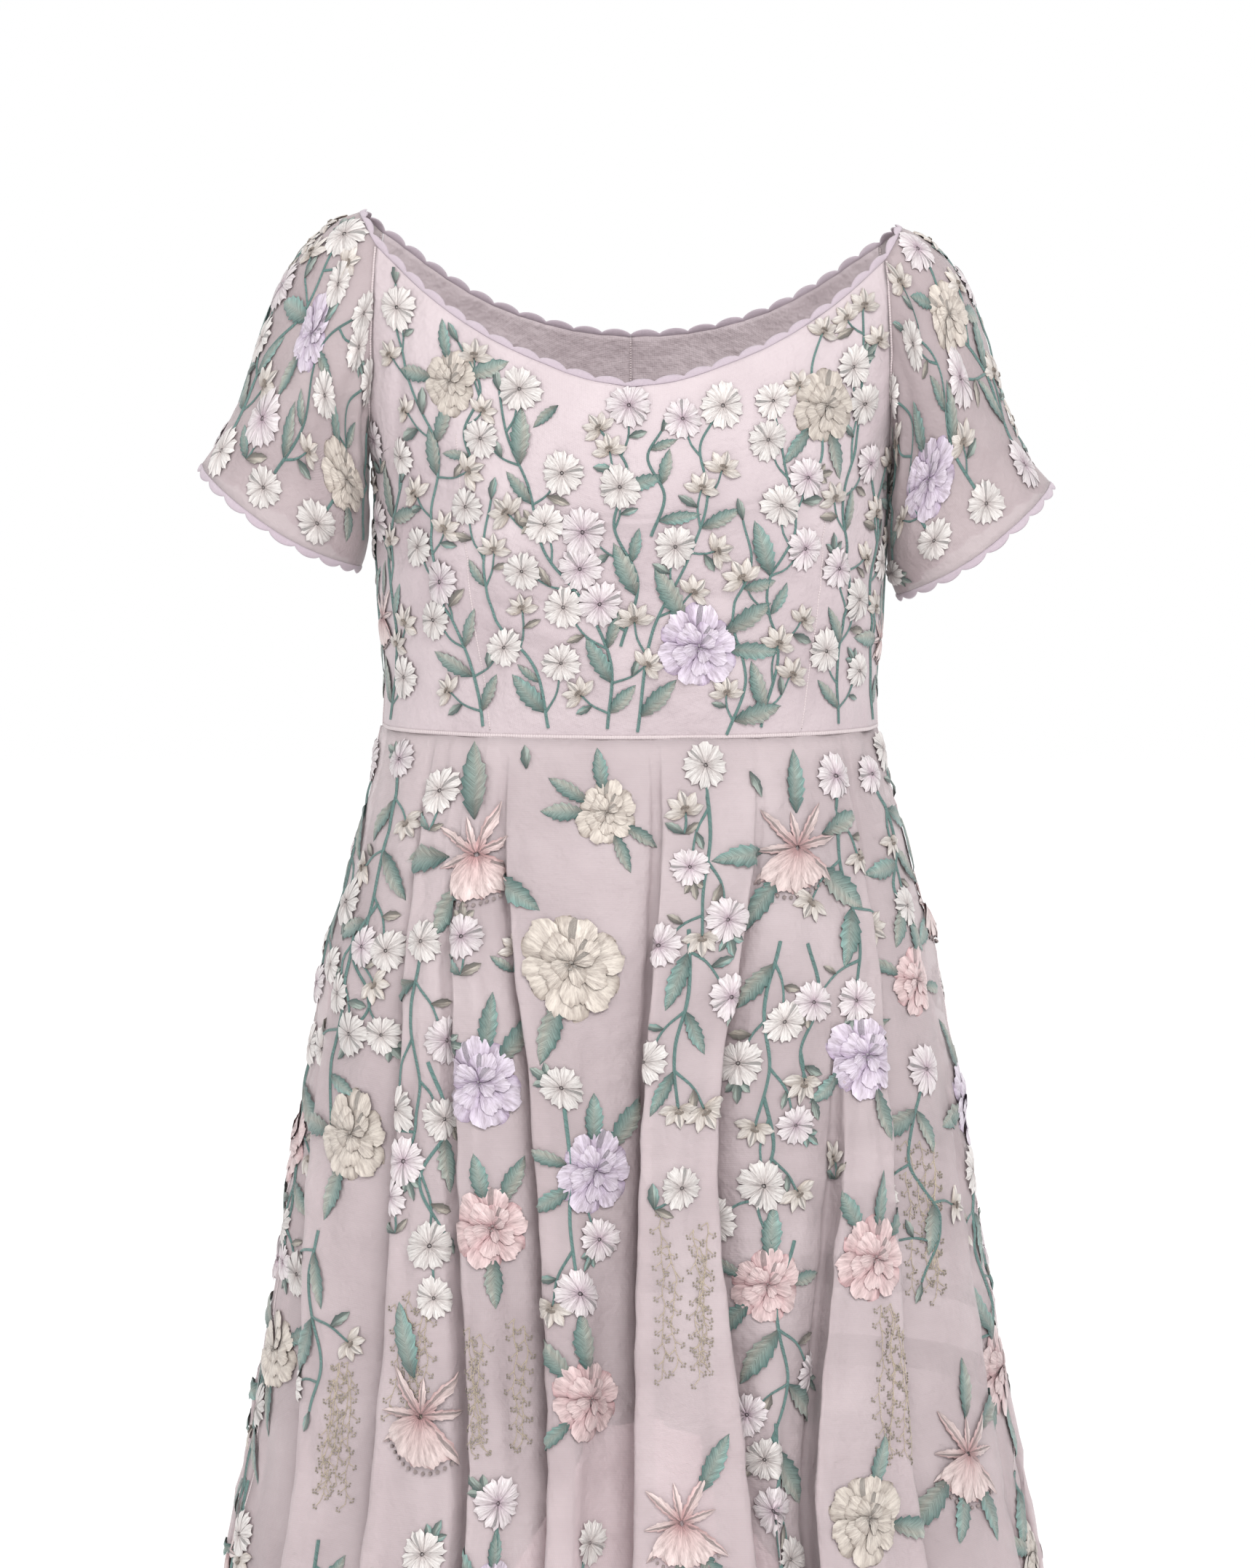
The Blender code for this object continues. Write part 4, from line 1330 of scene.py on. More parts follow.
# Dart lines: drop, distance from the middle, for each side
DARTS = {
    "right": ((0.138, -0.1046), (0.22, -0.0977), (0.314, -0.0846)),
    "left": ((0.156, 0.119), (0.233, 0.113), (0.314, 0.103)),
}
for side, dart in DARTS.items():
    drops = np.linspace(dart[0][0], dart[-1][0], 60)
    reach = read_table(dart, drops)[0]
    angles = np.arcsin(reach / read_table(BODY_SECTIONS, drops)[0])
    seam(f"dart_{side}", bodice, drop_row(drops), angle_column(angles), 0.0005, 0.0003)
for name, place in zip(("right", "left", "back"), (*side_columns(skirt_plan), 0)):
    down = np.linspace(0.0, skirt_hem_rows[place], 120)
    seam(f"skirt_seam_{name}", skirt, down, place, 0.0006, 0.0005)
hem_columns = np.arange(0.0, len(skirt_hem_rows), 1.5)
hem_places = np.interp(hem_columns, np.arange(len(skirt_hem_rows)), skirt_hem_rows)
seam("skirt_hem", skirt, hem_places - 0.3, hem_columns, 0.0010, 0.0006)
print("seams sewn")

# %% [markdown]
# ## Motifs
# The embroidery repeats a few motifs: a notched ivory blossom, a pointed bud, a ruffled
# peony, a winged bloom with a fringed lip, toothed leaves and knots. Each is modelled once.
# A petal is a grid whose rows are stretched and moved to its outline and arched, and a flower
# is the petal spun round.

# %% Modelling a petal
def pull(piece, chosen, move=(0.0, 0.0, 0.0), stretch=(1.0, 1.0, 1.0)):
    """Stretches and moves the chosen points of a piece in edit mode."""
    bpy.ops.mesh.select_all(action="DESELECT")
    sheet = bmesh.from_edit_mesh(piece.data)
    sheet.verts.ensure_lookup_table()
    for i in chosen:
        sheet.verts[i].select = True
    sheet.select_flush(True)
    bmesh.update_edit_mesh(piece.data)
    if stretch != (1.0, 1.0, 1.0):
        bpy.ops.transform.resize(value=stretch, center_override=(0.0, 0.0, 0.0))
    if move != (0.0, 0.0, 0.0):
        bpy.ops.transform.translate(value=move)


def model_petal(outline, columns, arch, teeth, notch, tilt):
    """A petal along +Y: outline gives a row's place, half width and height, in mm. Its
    middle is arched up, one side is tilted over the next petal, and its tip has teeth and a
    notch. Attributes keep how far along and how far aside each point is."""
    bpy.ops.object.select_all(action="DESELECT")
    rows = len(outline)
    bpy.ops.mesh.primitive_grid_add(x_subdivisions=columns - 1, y_subdivisions=rows - 1, size=2.0)
    petal = bpy.context.active_object
    along, aside = np.meshgrid(np.linspace(0, 1, rows), np.linspace(-1, 1, columns), indexing="ij")
    for key, values in (("along", along), ("aside", aside)):
        petal.data.attributes.new(key, "FLOAT", "POINT").data.foreach_set("value", values.ravel())
    bpy.ops.object.mode_set(mode="EDIT")
    for j, (place, half, height) in enumerate(outline):
        start = -1.0 + 2.0 * j / (rows - 1)
        line = range(j * columns, (j + 1) * columns)
        pull(petal, line, (0.0, place * MM - start, height * MM), (half * MM, 1.0, 1.0))
    for i, side in enumerate(aside[0]):
        lift = arch * (1.0 - side**2) + tilt * side
        pull(petal, range(i, rows * columns, columns), (0.0, 0.0, lift * MM))
        tooth = teeth * (-1) ** i - notch * (1.0 - abs(side))
        pull(petal, [(rows - 1) * columns + i], (0.0, tooth * MM, 0.0))
    return petal


def petals(outline, columns, arch, teeth, notch, tilt, count=1, spread=360.0, centre=0.0):
    """A petal modelled, copied round the flower's middle and kept as a motif."""
    petal = model_petal(outline, columns, arch, teeth, notch, tilt)
    if count > 1:
        bpy.ops.mesh.select_all(action="SELECT")
        turn = spread * (count - 1) / count if spread == 360.0 else spread
        bpy.ops.mesh.spin(steps=count - 1, dupli=True, angle=math.radians(turn),
                          center=(0.0, 0.0, 0.0), axis=(0.0, 0.0, 1.0))
    bpy.ops.object.mode_set(mode="OBJECT")
    return keep_motif(petal, centre)


print("petals can be modelled and spun")

# %% [markdown]
# A finished motif is kept as points and faces, because its copies have to bend with the
# cloth. Kept motifs can be turned, sized, moved and put together.

# %% Keeping motifs
def read_attribute(mesh, key, otherwise):
    """Values kept on a mesh's points, or one value for all where none are kept."""
    values = np.full(len(mesh.vertices), otherwise)
    if key in mesh.attributes:
        mesh.attributes[key].data.foreach_get("value", values)
    return values


def keep_motif(piece, centre=0.0):
    """Takes a modelled motif as points and faces with their places in the petal, and removes
    the object. A fan of petals is turned until its middle points along centre, in degrees."""
    mesh = piece.data
    mesh.calc_loop_triangles()
    points = np.zeros(len(mesh.vertices) * 3)
    mesh.vertices.foreach_get("co", points)
    points = points.reshape(-1, 3)
    faces = np.zeros(len(mesh.loop_triangles) * 3, dtype=np.int64)
    mesh.loop_triangles.foreach_get("vertices", faces)
    faces = faces.reshape(-1, 3)
    along = read_attribute(mesh, "along", 0.5)
    aside = read_attribute(mesh, "aside", 0.0)
    bpy.data.objects.remove(piece, do_unlink=True)
    middle = points[:, :2].mean(axis=0)
    if np.hypot(*middle) > MM:
        points = turned(points, math.radians(centre) - math.atan2(middle[0], middle[1]))
    corners = points[faces]
    up = np.cross(corners[:, 1] - corners[:, 0], corners[:, 2] - corners[:, 0])[:, 2]
    faces[up < 0] = faces[up < 0][:, ::-1]
    radius = np.hypot(points[:, 0], points[:, 1])
    lengths = np.stack([np.arctan2(points[:, 0], -points[:, 1]) * 8 * MM, radius], axis=-1)
    return {"along": along, "aside": aside, "points": points, "faces": faces, "lengths": lengths}


def turned(points, heading):
    """Points turned clockwise, seen from above, by a heading from +Y."""
    c = math.cos(heading)
    s = math.sin(heading)
    spun = points.copy()
    spun[:, 0] = points[:, 0] * c + points[:, 1] * s
    spun[:, 1] = -points[:, 0] * s + points[:, 1] * c
    return spun


def together(*motifs):
    """Several motifs as one."""
    keys = ("points", "along", "aside", "lengths")
    joined = {k: np.concatenate([m[k] for m in motifs]) for k in keys}
    starts = np.cumsum([0] + [len(m["points"]) for m in motifs])[:-1]
    joined["faces"] = np.concatenate([m["faces"] + s for m, s in zip(motifs, starts)])
    return joined


def moved(motif, across=0.0, up=0.0, out=0.0, heading=0.0, size=1.0):
    """A motif turned, sized and moved, in mm."""
    points = turned(motif["points"], heading) * size + np.array([across, up, out]) * MM
    return {**motif, "points": points, "lengths": motif["lengths"] * size}


def ring_of(motif, count, reach, out, size=1.0, middle=0.0, spread=360.0):
    """Copies of a small motif on a circle, or on a part of one."""
    placed = []
    for i in range(count):
        share = i / count if spread == 360.0 else i / (count - 1) - 0.5
        heading = math.radians(middle + spread * share)
        across = reach * math.sin(heading)
        placed.append(moved(motif, across, reach * math.cos(heading), out, heading, size))
    return placed


print("motifs can be kept and arranged")

# %% [markdown]
# A knot is a small ball without its underside. The blossom has eight notched petals round a
# knot, and the bud is a half star of pointed petals over a beige heart.

# %% Knot, blossom and bud
bpy.ops.object.select_all(action="DESELECT")
bpy.ops.mesh.primitive_ico_sphere_add(subdivisions=1, radius=0.9 * MM)
knot = keep_motif(bpy.context.active_object)
knot["faces"] = knot["faces"][knot["points"][knot["faces"]][:, :, 2].mean(axis=1) > -0.2 * MM]

# Place along the petal, half width, height, for each row, in mm
BLOSSOM_PETAL = ((1.2, 0.6, 1.0), (4.6, 2.1, 1.3), (8.0, 3.5, 1.4), (11.4, 4.2, 1.1), (14.0, 2.7, 0.4))
blossom = together(petals(BLOSSOM_PETAL, 5, 0.45, 0.3, 1.4, 0.12, 8), moved(knot, out=0.9))
blossom["along"][-len(knot["points"]):] = 0.1

BUD_PETAL = ((0.6, 1.4, 0.5), (4.0, 3.0, 1.0), (8.0, 3.5, 1.1), (11.5, 2.2, 0.7), (14.2, 0.2, 0.2))
base_knot = {**knot, "along": knot["along"] * 0.0}
bud_heart = ring_of(base_knot, 4, 3.6, 1.5, 1.1, 0.0, 70.0)
bud = together(petals(BUD_PETAL, 5, 0.6, 0.0, 0.0, 0.3, 5, 170.0), *bud_heart)
print("blossom", len(blossom["faces"]), "triangles, bud", len(bud["faces"]))

# %% [markdown]
# The peony is three rings of broad ruffled petals, each ring above the one outside it. A
# petal is pale at its tip and dark at its base, partly by thread colour and partly by painted
# shade. Painted shade also darkens its low side, under the next petal, which parts it from
# the next.

# %% Peony
OUTER_PETAL = (
    (7.0, 4.0, 0.8), (13.0, 8.6, 1.3), (19.0, 12.4, 1.6), (24.0, 11.8, 1.3), (27.0, 8.4, 0.8),
    (28.4, 5.0, 0.3),
)
MIDDLE_PETAL = ((3.0, 2.6, 2.2), (8.0, 6.6, 2.9), (13.0, 9.0, 3.1), (17.2, 7.8, 2.7), (19.6, 4.6, 2.1))
INNER_PETAL = ((0.6, 1.4, 3.4), (4.6, 4.6, 4.2), (8.6, 5.8, 4.2), (12.0, 3.6, 3.5))
outer_ring = petals(OUTER_PETAL, 7, 0.9, 0.5, 1.6, 1.1, 6)
middle_ring = moved(petals(MIDDLE_PETAL, 7, 0.9, 0.5, 1.5, 1.0, 5), 1.2, -0.8, 0.0, 0.35)
inner_ring = moved(petals(INNER_PETAL, 5, 0.8, 0.4, 1.2, 0.8, 4), 0.4, 1.4, 0.0, 0.9)
peony = together(outer_ring, middle_ring, inner_ring, *ring_of(knot, 4, 1.8, 4.4, 1.1))
print("peony", len(peony["faces"]), "triangles")

# %% [markdown]
# The winged bloom has long feathered petals over a broad lip, and the lip ends in a fringe
# of knots.

# %% Winged bloom
WING_PETAL = (
    (1.5, 1.0, 0.6), (6.0, 3.0, 1.2), (10.5, 3.9, 1.4), (12.0, 3.0, 1.4), (17.0, 4.4, 1.5),
    (18.5, 3.4, 1.5), (24.0, 4.0, 1.3), (25.5, 2.8, 1.3), (31.0, 2.2, 0.9), (37.0, 0.3, 0.2),
)
LIP_PETAL = ((2.0, 2.4, 2.0), (9.0, 6.0, 2.9), (17.0, 8.4, 2.9), (24.0, 8.4, 2.2), (28.5, 5.2, 1.0))
wing = petals(WING_PETAL, 5, 0.7, 0.0, 0.0, 0.0)
lip = petals(LIP_PETAL, 7, 0.9, 0.4, 1.4, 0.9, 4, 74.0, 180.0)
# Heading in degrees, size
WINGS = ((-132, 0.95), (-98, 0.72), (-48, 0.86), (-8, 0.62), (34, 0.92), (76, 0.74), (128, 0.98))
wings = []
for heading, size in WINGS:
    wings.append(moved(wing, 0.0, 0.0, 0.15 * len(wings), math.radians(heading), size))
winged_bloom = together(*wings, lip, *ring_of(knot, 12, 31.0, 0.8, 1.5, 180.0, 92.0))
print("winged bloom", len(winged_bloom["faces"]), "triangles")

# %% [markdown]
# A leaf is filled from its midrib outwards. Its edge is cut in forward teeth, and the midrib
# is a low channel. A sprout is three little leaves from one point.

# %% Leaf and sprout
LEAF_LENGTH = 0.035
SMALL_LEAF_LENGTH = 0.015
LONGEST_SMALL_LEAF = 0.017
MIDRIB = 0.8 * MM
LEAF_OUTLINE = (
    (0.0, 0.5, 0.2), (3.5, 2.6, 0.8), (7.8, 5.6, 1.0), (8.8, 4.3, 1.0), (13.0, 7.2, 1.1),
    (14.2, 5.6, 1.1), (18.6, 7.5, 1.1), (19.8, 5.6, 1.0), (24.0, 6.2, 0.9), (25.2, 4.2, 0.8),
    (29.0, 3.6, 0.6), (35.0, 0.2, 0.1),
)
leaf = petals(LEAF_OUTLINE, 5, 0.6, 0.0, 0.0, 0.0)
aside, up = leaf["points"][:, 0], leaf["points"][:, 1]
leaf["points"][:, 2] -= MIDRIB * np.exp(-((aside / MIDRIB) ** 2))
leaf["lengths"] = np.stack([up - 0.9 * np.abs(aside), aside], axis=-1)
SPROUT_LEAF = (
    (0.0, 0.5, 0.3), (4.0, 2.6, 0.9), (7.0, 3.8, 1.0), (8.0, 3.0, 0.9), (11.0, 3.0, 0.7),
    (15.0, 0.2, 0.1),
)
small_leaf = petals(SPROUT_LEAF, 3, 0.5, 0.0, 0.0, 0.0)
side_leaves = [moved(small_leaf, heading=h, size=0.9) for h in (-0.85, 0.85)]
sprout = together(side_leaves[0], moved(small_leaf, size=1.1), side_leaves[1])
print("leaf", len(leaf["faces"]), "triangles, sprout", len(sprout["faces"]))

# %% [markdown]
# ## Thread colours
# Rayon thread shines along its length. Each colour is a run from a petal's base to its tip,
# kept on the points of the mesh; its dark base is partly thread colour and partly painted
# shade. A painted sheen makes petals that point up or down lighter than those that point
# aside, and one half of a leaf lighter than the other. The material adds the single threads:
# a noise that is fine across the threads and long along them, with painted shade between them.

# %% Thread colours and finish
STRAND_SCALE = (900.0, 70.0, 1.0)
PAINTED_SHADE_BETWEEN_STRANDS = (0.56, 0.53, 0.53)
# Base and tip, as screen colours from 0 to 255
SCREEN_COLOURS = {
    "ivory": ((206, 194, 191), (219, 215, 212)),
    "blush": ((202, 179, 191), (219, 212, 213)),
    "cream": ((176, 160, 146), (217, 211, 205)),
    "beige": ((138, 124, 114), (208, 199, 189)),
    "lilac": ((154, 130, 162), (212, 202, 214)),
    "salmon": ((172, 124, 128), (210, 189, 188)),
    "rose": ((178, 134, 134), (210, 193, 190)),
    "teal": ((44, 84, 81), (128, 167, 161)),
    "grey": ((98, 92, 85), (182, 173, 162)),
    "gold": ((188, 172, 150), (214, 200, 178)),
}
THREADS = {}
for thread, colours in SCREEN_COLOURS.items():
    THREADS[thread] = ((np.array(colours) / 255 + 0.055) / 1.055) ** 2.4
# Share along the petal, share of the tip's colour; the dark base is partly thread colour and partly
# painted shade. Beige petals have tan tips
TONES = ((0.0, 0.0), (0.30, 0.70), (0.75, 1.0), (1.0, 0.86))
BEIGE_TONES = ((0.0, 0.10), (0.28, 0.90), (0.70, 0.85), (1.0, 0.38))


def thread_finish(name):
    """Satin stitch in the colours kept on the mesh."""
    finish = Finish(name, Roughness=0.40, Sheen_Weight=0.2)
    kept = finish.node("ShaderNodeAttribute", {"attribute_name": "thread_colour"})
    colour = kept.outputs["Color"]
    strands = finish.noise(finish.scaled(finish.lengths(), STRAND_SCALE), 1.0, 3.0, 0.7)
    # Painted shade: the colour is darker between the strands.
    shade = finish.scaled(colour, PAINTED_SHADE_BETWEEN_STRANDS)
    finish.feed(Base_Color=finish.mix(strands * 3.4 - 1.1, shade, colour))
    finish.bump(strands, 0.0016)
    return finish.material


def thread_tones(thread, tone):
    """Colours from a thread's base to its tip, at shares of the way."""
    base, tip = THREADS[thread]
    return base + tone[:, None] * (tip - base)


def thread_colours(motif, thread, heading, draw):
    """The colour of each point of a motif. A leaf is teal, with one half greyer on most."""
    aside = motif["aside"]
    tones = BEIGE_TONES if thread == "beige" else TONES
    # Depth of the painted shade on each petal's low side, under the next petal; leaves get it on one
    # edge.
    low_side_shade = 0.25 if thread in ("ivory", "blush") else 0.7
    tone = np.interp(motif["along"], *np.transpose(tones))
    tone = tone * (1.0 - low_side_shade * np.clip(-aside, 0.0, 1.0) ** 2)
    if thread in ("leaf", "grey"):
        edge = np.abs(aside)
        share = 0.5 + 0.5 * edge
        if draw.random() < 0.6:
            share = np.where(aside > 0.0, edge * 0.5, 0.55 + 0.45 * edge)
        if thread == "grey":
            share = 0.1 * edge
        grey = thread_tones("grey", tone)
        colours = grey + share[:, None] * (thread_tones("teal", tone) - grey)
        # Painted sheen: one half of the leaf lighter than the other.
        sheen = 1.0 + 0.08 * np.sign(aside)
    else:
        colours = thread_tones(thread, tone)
        # Painted sheen: petals that point up or down lighter than those that point aside.
        angle = np.arctan2(motif["points"][:, 0], motif["points"][:, 1]) + heading
        sheen = 1.0 + 0.06 * np.cos(2 * angle)
    return colours * (sheen * draw.uniform(0.92, 1.06))[:, None]


satin_thread = thread_finish("satin_thread")
print("thread colours:", ", ".join(THREADS))

# %% [markdown]
# ## Stitching motifs to the cloth
# A motif's flat points are laid on the cloth at their true lengths from an anchor. Discs keep
# motifs from lying on each other, and a motif must fit inside the neckline and the seams.

# %% Stitching
LIFT = 0.0003
DISC_ROOM = 9000
SIXTHS = np.arange(6) * math.tau / 6
ROUND_ABOUT = np.stack([np.cos(SIXTHS), np.sin(SIXTHS)], axis=-1)
stitched = {}
disc_places = np.zeros((DISC_ROOM, 3))
disc_sizes = np.zeros(DISC_ROOM)
disc_count = 0


def region(cloth, column):
    """The panel that a column belongs to, which names its embroidery."""
    if cloth is bodice:
        return "bodice_front" if 0.25 < column / (BODICE_COLUMNS - 1) < 0.75 else "bodice_back"
    if cloth is skirt:
        right, left = side_columns(skirt_plan)
        return "skirt_front" if right < column < left else "skirt_back"
    return "sleeve_left" if cloth is sleeves["left"] else "sleeve_right"


class Anchor:
    """A place on a cloth, from which a spray's flat lengths are measured."""

    def __init__(self, cloth, row, column):
        self.cloth = cloth
        self.row = row
        self.column = column
        self.region = region(cloth, column)

    def at(self, flat, proud):
        """Points of the cloth at flat places, across and up from the anchor."""
        row = self.row - flat[:, 1] * self.cloth.rows_per_metre
        return self.cloth.place(row, self.column, flat[:, 0], proud)

    def free(self, spot, radius, claim=True):
        """Whether a round place is on the cloth and clear of other motifs."""
        global disc_count
        spots = np.concatenate([[spot], np.asarray(spot) + 0.95 * radius * ROUND_ABOUT])
        points, inside = self.at(spots, np.zeros(len(spots)))
        away = np.linalg.norm(disc_places[:disc_count] - points[0], axis=1)
        if not inside.all() or (away - disc_sizes[:disc_count] < radius).any():
            return False
        if claim:
            disc_places[disc_count] = points[0]
            disc_sizes[disc_count] = radius
            disc_count += 1
        return True

    def keep(self, family, placed, faces, inside, colours, lengths):
        """Keeps the faces that lie wholly on the cloth, under their panel and family."""
        whole = faces[inside[faces].all(axis=1)]
        if len(whole):
            parts = stitched.setdefault(f"{self.region}_{family}", [])
            parts.append((placed, whole, colours, lengths))

    def stitch(self, motif, spot, heading, size, thread, family, draw, rise=1.0):
        """Lays a motif at a flat place, turned to a heading and sized."""
        narrow = draw.uniform(0.72, 0.98) if family == "leaves" else draw.uniform(0.93, 1.07)
        points = motif["points"] * np.array([narrow, 1.0, 1.0])
        if family in ("blossoms", "large_flowers"):
            angle = np.arctan2(points[:, 0], points[:, 1])
            uneven = np.sin(2 * angle + draw.uniform(0, 6)) + np.sin(3 * angle + draw.uniform(0, 6))
            points = points * (1.0 + 0.05 * uneven[:, None] * np.array([1.0, 1.0, 0.0]))
        points = turned(points, heading) * size
        flat = points[:, :2] + np.asarray(spot)
        placed, inside = self.at(flat, LIFT + points[:, 2] * rise)
        colours = thread_colours(motif, thread, heading, draw)
        self.keep(family, placed, motif["faces"], inside, colours, motif["lengths"] * size)

    def stitch_stem(self, path, half, thread, draw):
        """A raised line of stem stitch along a flat path."""
        way = unit(np.gradient(path, axis=0))
        side = np.stack([way[:, 1], -way[:, 0]], axis=-1)
        count = len(path)
        width = half * np.linspace(1.0, 0.75, count)[:, None]
        flat = np.concatenate([path - width * side, path, path + width * side])
        height = np.concatenate([np.zeros(count), np.full(count, 1.1 * half), np.zeros(count)])
        placed, inside = self.at(flat, LIFT + height)
        faces = []
        for line in (0, count):
            a = np.arange(count - 1) + line
            b = a + 1
            faces.append(np.stack([a, b + count, b], axis=-1))
            faces.append(np.stack([a, a + count, b + count], axis=-1))
        colours = thread_tones(thread, np.full(len(flat), 0.5)) * draw.uniform(0.9, 1.1)
        run = lengths_along(path)
        lengths = np.stack([np.concatenate([run - half, run, run + half]), height], axis=-1)
        self.keep("stems", placed, np.concatenate(faces), inside, colours, lengths)


def smooth_path(points, step=0.003):
    """A smooth curve through flat points, sampled about every step."""
    points = np.asarray(points, dtype=float)
    run = lengths_along(points)
    wanted = np.linspace(0.0, run[-1], max(int(run[-1] / step), 3))
    return np.stack(read_table(np.column_stack([run, points]), wanted), axis=-1)


print("room for", DISC_ROOM, "motifs")

# %% [markdown]
# ## Growing a spray
# A twig ends in a blossom or a bud and has a small leaf. Where its place is taken, another
# length or heading is tried.

# %% Leaves and twigs
BODICE_STYLE = {"gap": 0.021, "twig": (0.014, 0.030), "leaf": (0.020, 0.036), "blossom": 0.93,
                "buds": 0.34, "stem": 0.0010, "sprout": 0.22, "bare": 0.0145}
SKIRT_STYLE = {"gap": 0.030, "twig": (0.018, 0.036), "leaf": (0.028, 0.044), "blossom": 1.0,
               "buds": 0.24, "stem": 0.0012, "sprout": 0.45, "bare": 0.0165}
LOWER_STYLE = {**SKIRT_STYLE, "gap": 0.036, "leaf": (0.034, 0.048)}
TWIG_TRIES = 7
TWIG_BEND = 0.35
TWIG_THINNER = 0.75


def toward(heading, length):
    """A length in the direction of a heading."""
    return np.array([math.sin(heading), math.cos(heading)]) * length


def grow_leaf(anchor, spot, heading, length, draw, thread="leaf"):
    """A leaf from a spot on a stem, if its place is free."""
    if not anchor.free(np.asarray(spot) + toward(heading, 0.55 * length), 0.24 * length):
        return
    small = length < LONGEST_SMALL_LEAF
    motif, whole = (small_leaf, SMALL_LEAF_LENGTH) if small else (leaf, LEAF_LENGTH)
    anchor.stitch(motif, spot, heading, length / whole, thread, "leaves", draw, 1.2)


def grow_tip(anchor, end, heading, style, draw):
    """A blossom or a bud at the end of a twig, if its place is free."""
    size = style["blossom"] * draw.uniform(0.86, 1.08)
    if draw.random() < style["buds"]:
        if anchor.free(end + toward(heading, 0.006 * size), 0.0082 * size):
            anchor.stitch(bud, end, heading, size * 0.95, "cream", "buds", draw, 1.4)
            return True
        return False
    middle = end + toward(heading, 0.009 * size)
    if not anchor.free(middle, 0.0112 * size):
        return False
    if draw.random() < style["sprout"]:
        way = heading + draw.uniform(-1.3, 1.3)
        thread = "leaf" if draw.random() < 0.7 else "grey"
        start = middle + toward(way, 0.009 * size)
        anchor.stitch(sprout, start, way, 0.85 * size, thread, "leaves", draw)
    thread = "blush" if draw.random() < 0.45 else "ivory"
    anchor.stitch(blossom, middle, draw.uniform(0, math.tau), size, thread, "blossoms", draw, 1.4)
    return True


def grow_twig(anchor, spot, heading, bend, style, draw):
    """A curved twig with its tip, tried at a few lengths and headings."""
    for _ in range(TWIG_TRIES):
        length = draw.uniform(*style["twig"])
        turn = heading + draw.uniform(-0.45, 0.45)
        middle = spot + toward(turn, 0.55 * length)
        end = middle + toward(turn + bend, 0.45 * length)
        if grow_tip(anchor, end, turn + bend, style, draw):
            path = smooth_path([spot, middle, end])
            anchor.stitch_stem(path, style["stem"] * TWIG_THINNER, "teal", draw)
            aside = draw.choice((-0.9, 0.9))
            thread = "grey" if draw.random() < 0.45 else "leaf"
            grow_leaf(anchor, middle, turn + aside, draw.uniform(0.010, 0.016), draw, thread)
            return True
    return False


print("twig lengths on the skirt:", SKIRT_STYLE["twig"], "m")

# %% [markdown]
# A spray is a main stem with twigs to alternate sides, and a leaf grows opposite to each.
# Free places between the sprays are filled with single blossoms. A large flower has leaves
# that show from under it.

# %% Growing a spray
def grow_spray(anchor, stem, style, draw, start_flower=False):
    """A main stem with twigs, leaves and a blossom at its end."""
    path = smooth_path(stem)
    anchor.stitch_stem(path, style["stem"], "teal", draw)
    run = lengths_along(path)
    ways = np.arctan2(*np.diff(path, axis=0).T)
    if start_flower:
        start = path[0] - toward(ways[0], 0.003)
        grow_tip(anchor, start, ways[0] + math.pi, {**style, "buds": 0.0}, draw)
    if not grow_tip(anchor, path[-1], ways[-1], style, draw):
        anchor.stitch(small_leaf, path[-1], ways[-1], 0.9, "leaf", "leaves", draw)
    side = draw.choice((-1, 1))
    place = style["gap"] * 0.35
    while place < run[-1] - 0.005:
        i = int(np.searchsorted(run, place))
        spot, heading = path[i], ways[i - 1]
        way = heading + side * draw.uniform(0.6, 1.0)
        grew = grow_twig(anchor, spot, way, -side * TWIG_BEND, style, draw)
        length = draw.uniform(*style["leaf"])
        grow_leaf(anchor, spot, heading - side * draw.uniform(0.45, 0.9), length, draw)
        if not grew:
            grow_leaf(anchor, spot, heading + side * draw.uniform(0.5, 1.1), length * 0.8, draw)
        side = -side
        place += style["gap"] * draw.uniform(0.8, 1.2)


def fill_gaps(anchors, tries, reach, depth, style, draw):
    """Small blossoms on short twigs with leaves, wherever a random spot is free: up to reach
    aside of an anchor and up to depth below it."""
    for _ in range(tries):
        anchor = anchors[int(draw.integers(len(anchors)))]
        spot = np.array([draw.uniform(-reach, reach), draw.uniform(-depth, 0.0)])
        way = draw.uniform(-0.8, 0.8)
        if not anchor.free(spot, style["bare"], claim=False):
            continue
        if grow_tip(anchor, spot, way, style, draw):
            start = spot - toward(way + 0.3, draw.uniform(0.010, 0.016))
            middle = 0.5 * (start + spot) + toward(way + 1.5, 0.001)
            path = smooth_path([start, middle, spot])
            anchor.stitch_stem(path, style["stem"] * TWIG_THINNER, "teal", draw)
            grow_leaf(anchor, start, way - 0.8, draw.uniform(0.012, 0.020), draw)
            grow_leaf(anchor, start, way + 1.2, draw.uniform(0.010, 0.016), draw, "grey")
        else:
            grow_leaf(anchor, spot, draw.uniform(0, math.tau), draw.uniform(0.014, 0.022), draw)


# Peonies under their colour, and the winged bloom: motif, thread, width as modelled, rise
LARGE = {thread: (peony, thread, 0.054, 0.8) for thread in ("beige", "lilac", "salmon")}
LARGE["winged"] = (winged_bloom, "rose", 0.058, 0.9)


def plant(anchor, spot, kind, across, draw, leaves=3):
    """A large flower of a width, with leaves that show from under it."""
    motif, thread, width, rise = LARGE[kind]
    if not anchor.free(spot, 0.42 * across):
        return
    for _ in range(leaves):
        heading = draw.uniform(0, math.tau)
        start = np.asarray(spot) + toward(heading, 0.36 * across)
        grow_leaf(anchor, start, heading, draw.uniform(0.6, 0.85) * max(across, 0.036), draw)
    heading = draw.uniform(-0.3, 0.3)
    anchor.stitch(motif, spot, heading, across / width, thread, "large_flowers", draw, rise)


print("large flowers:", ", ".join(LARGE))

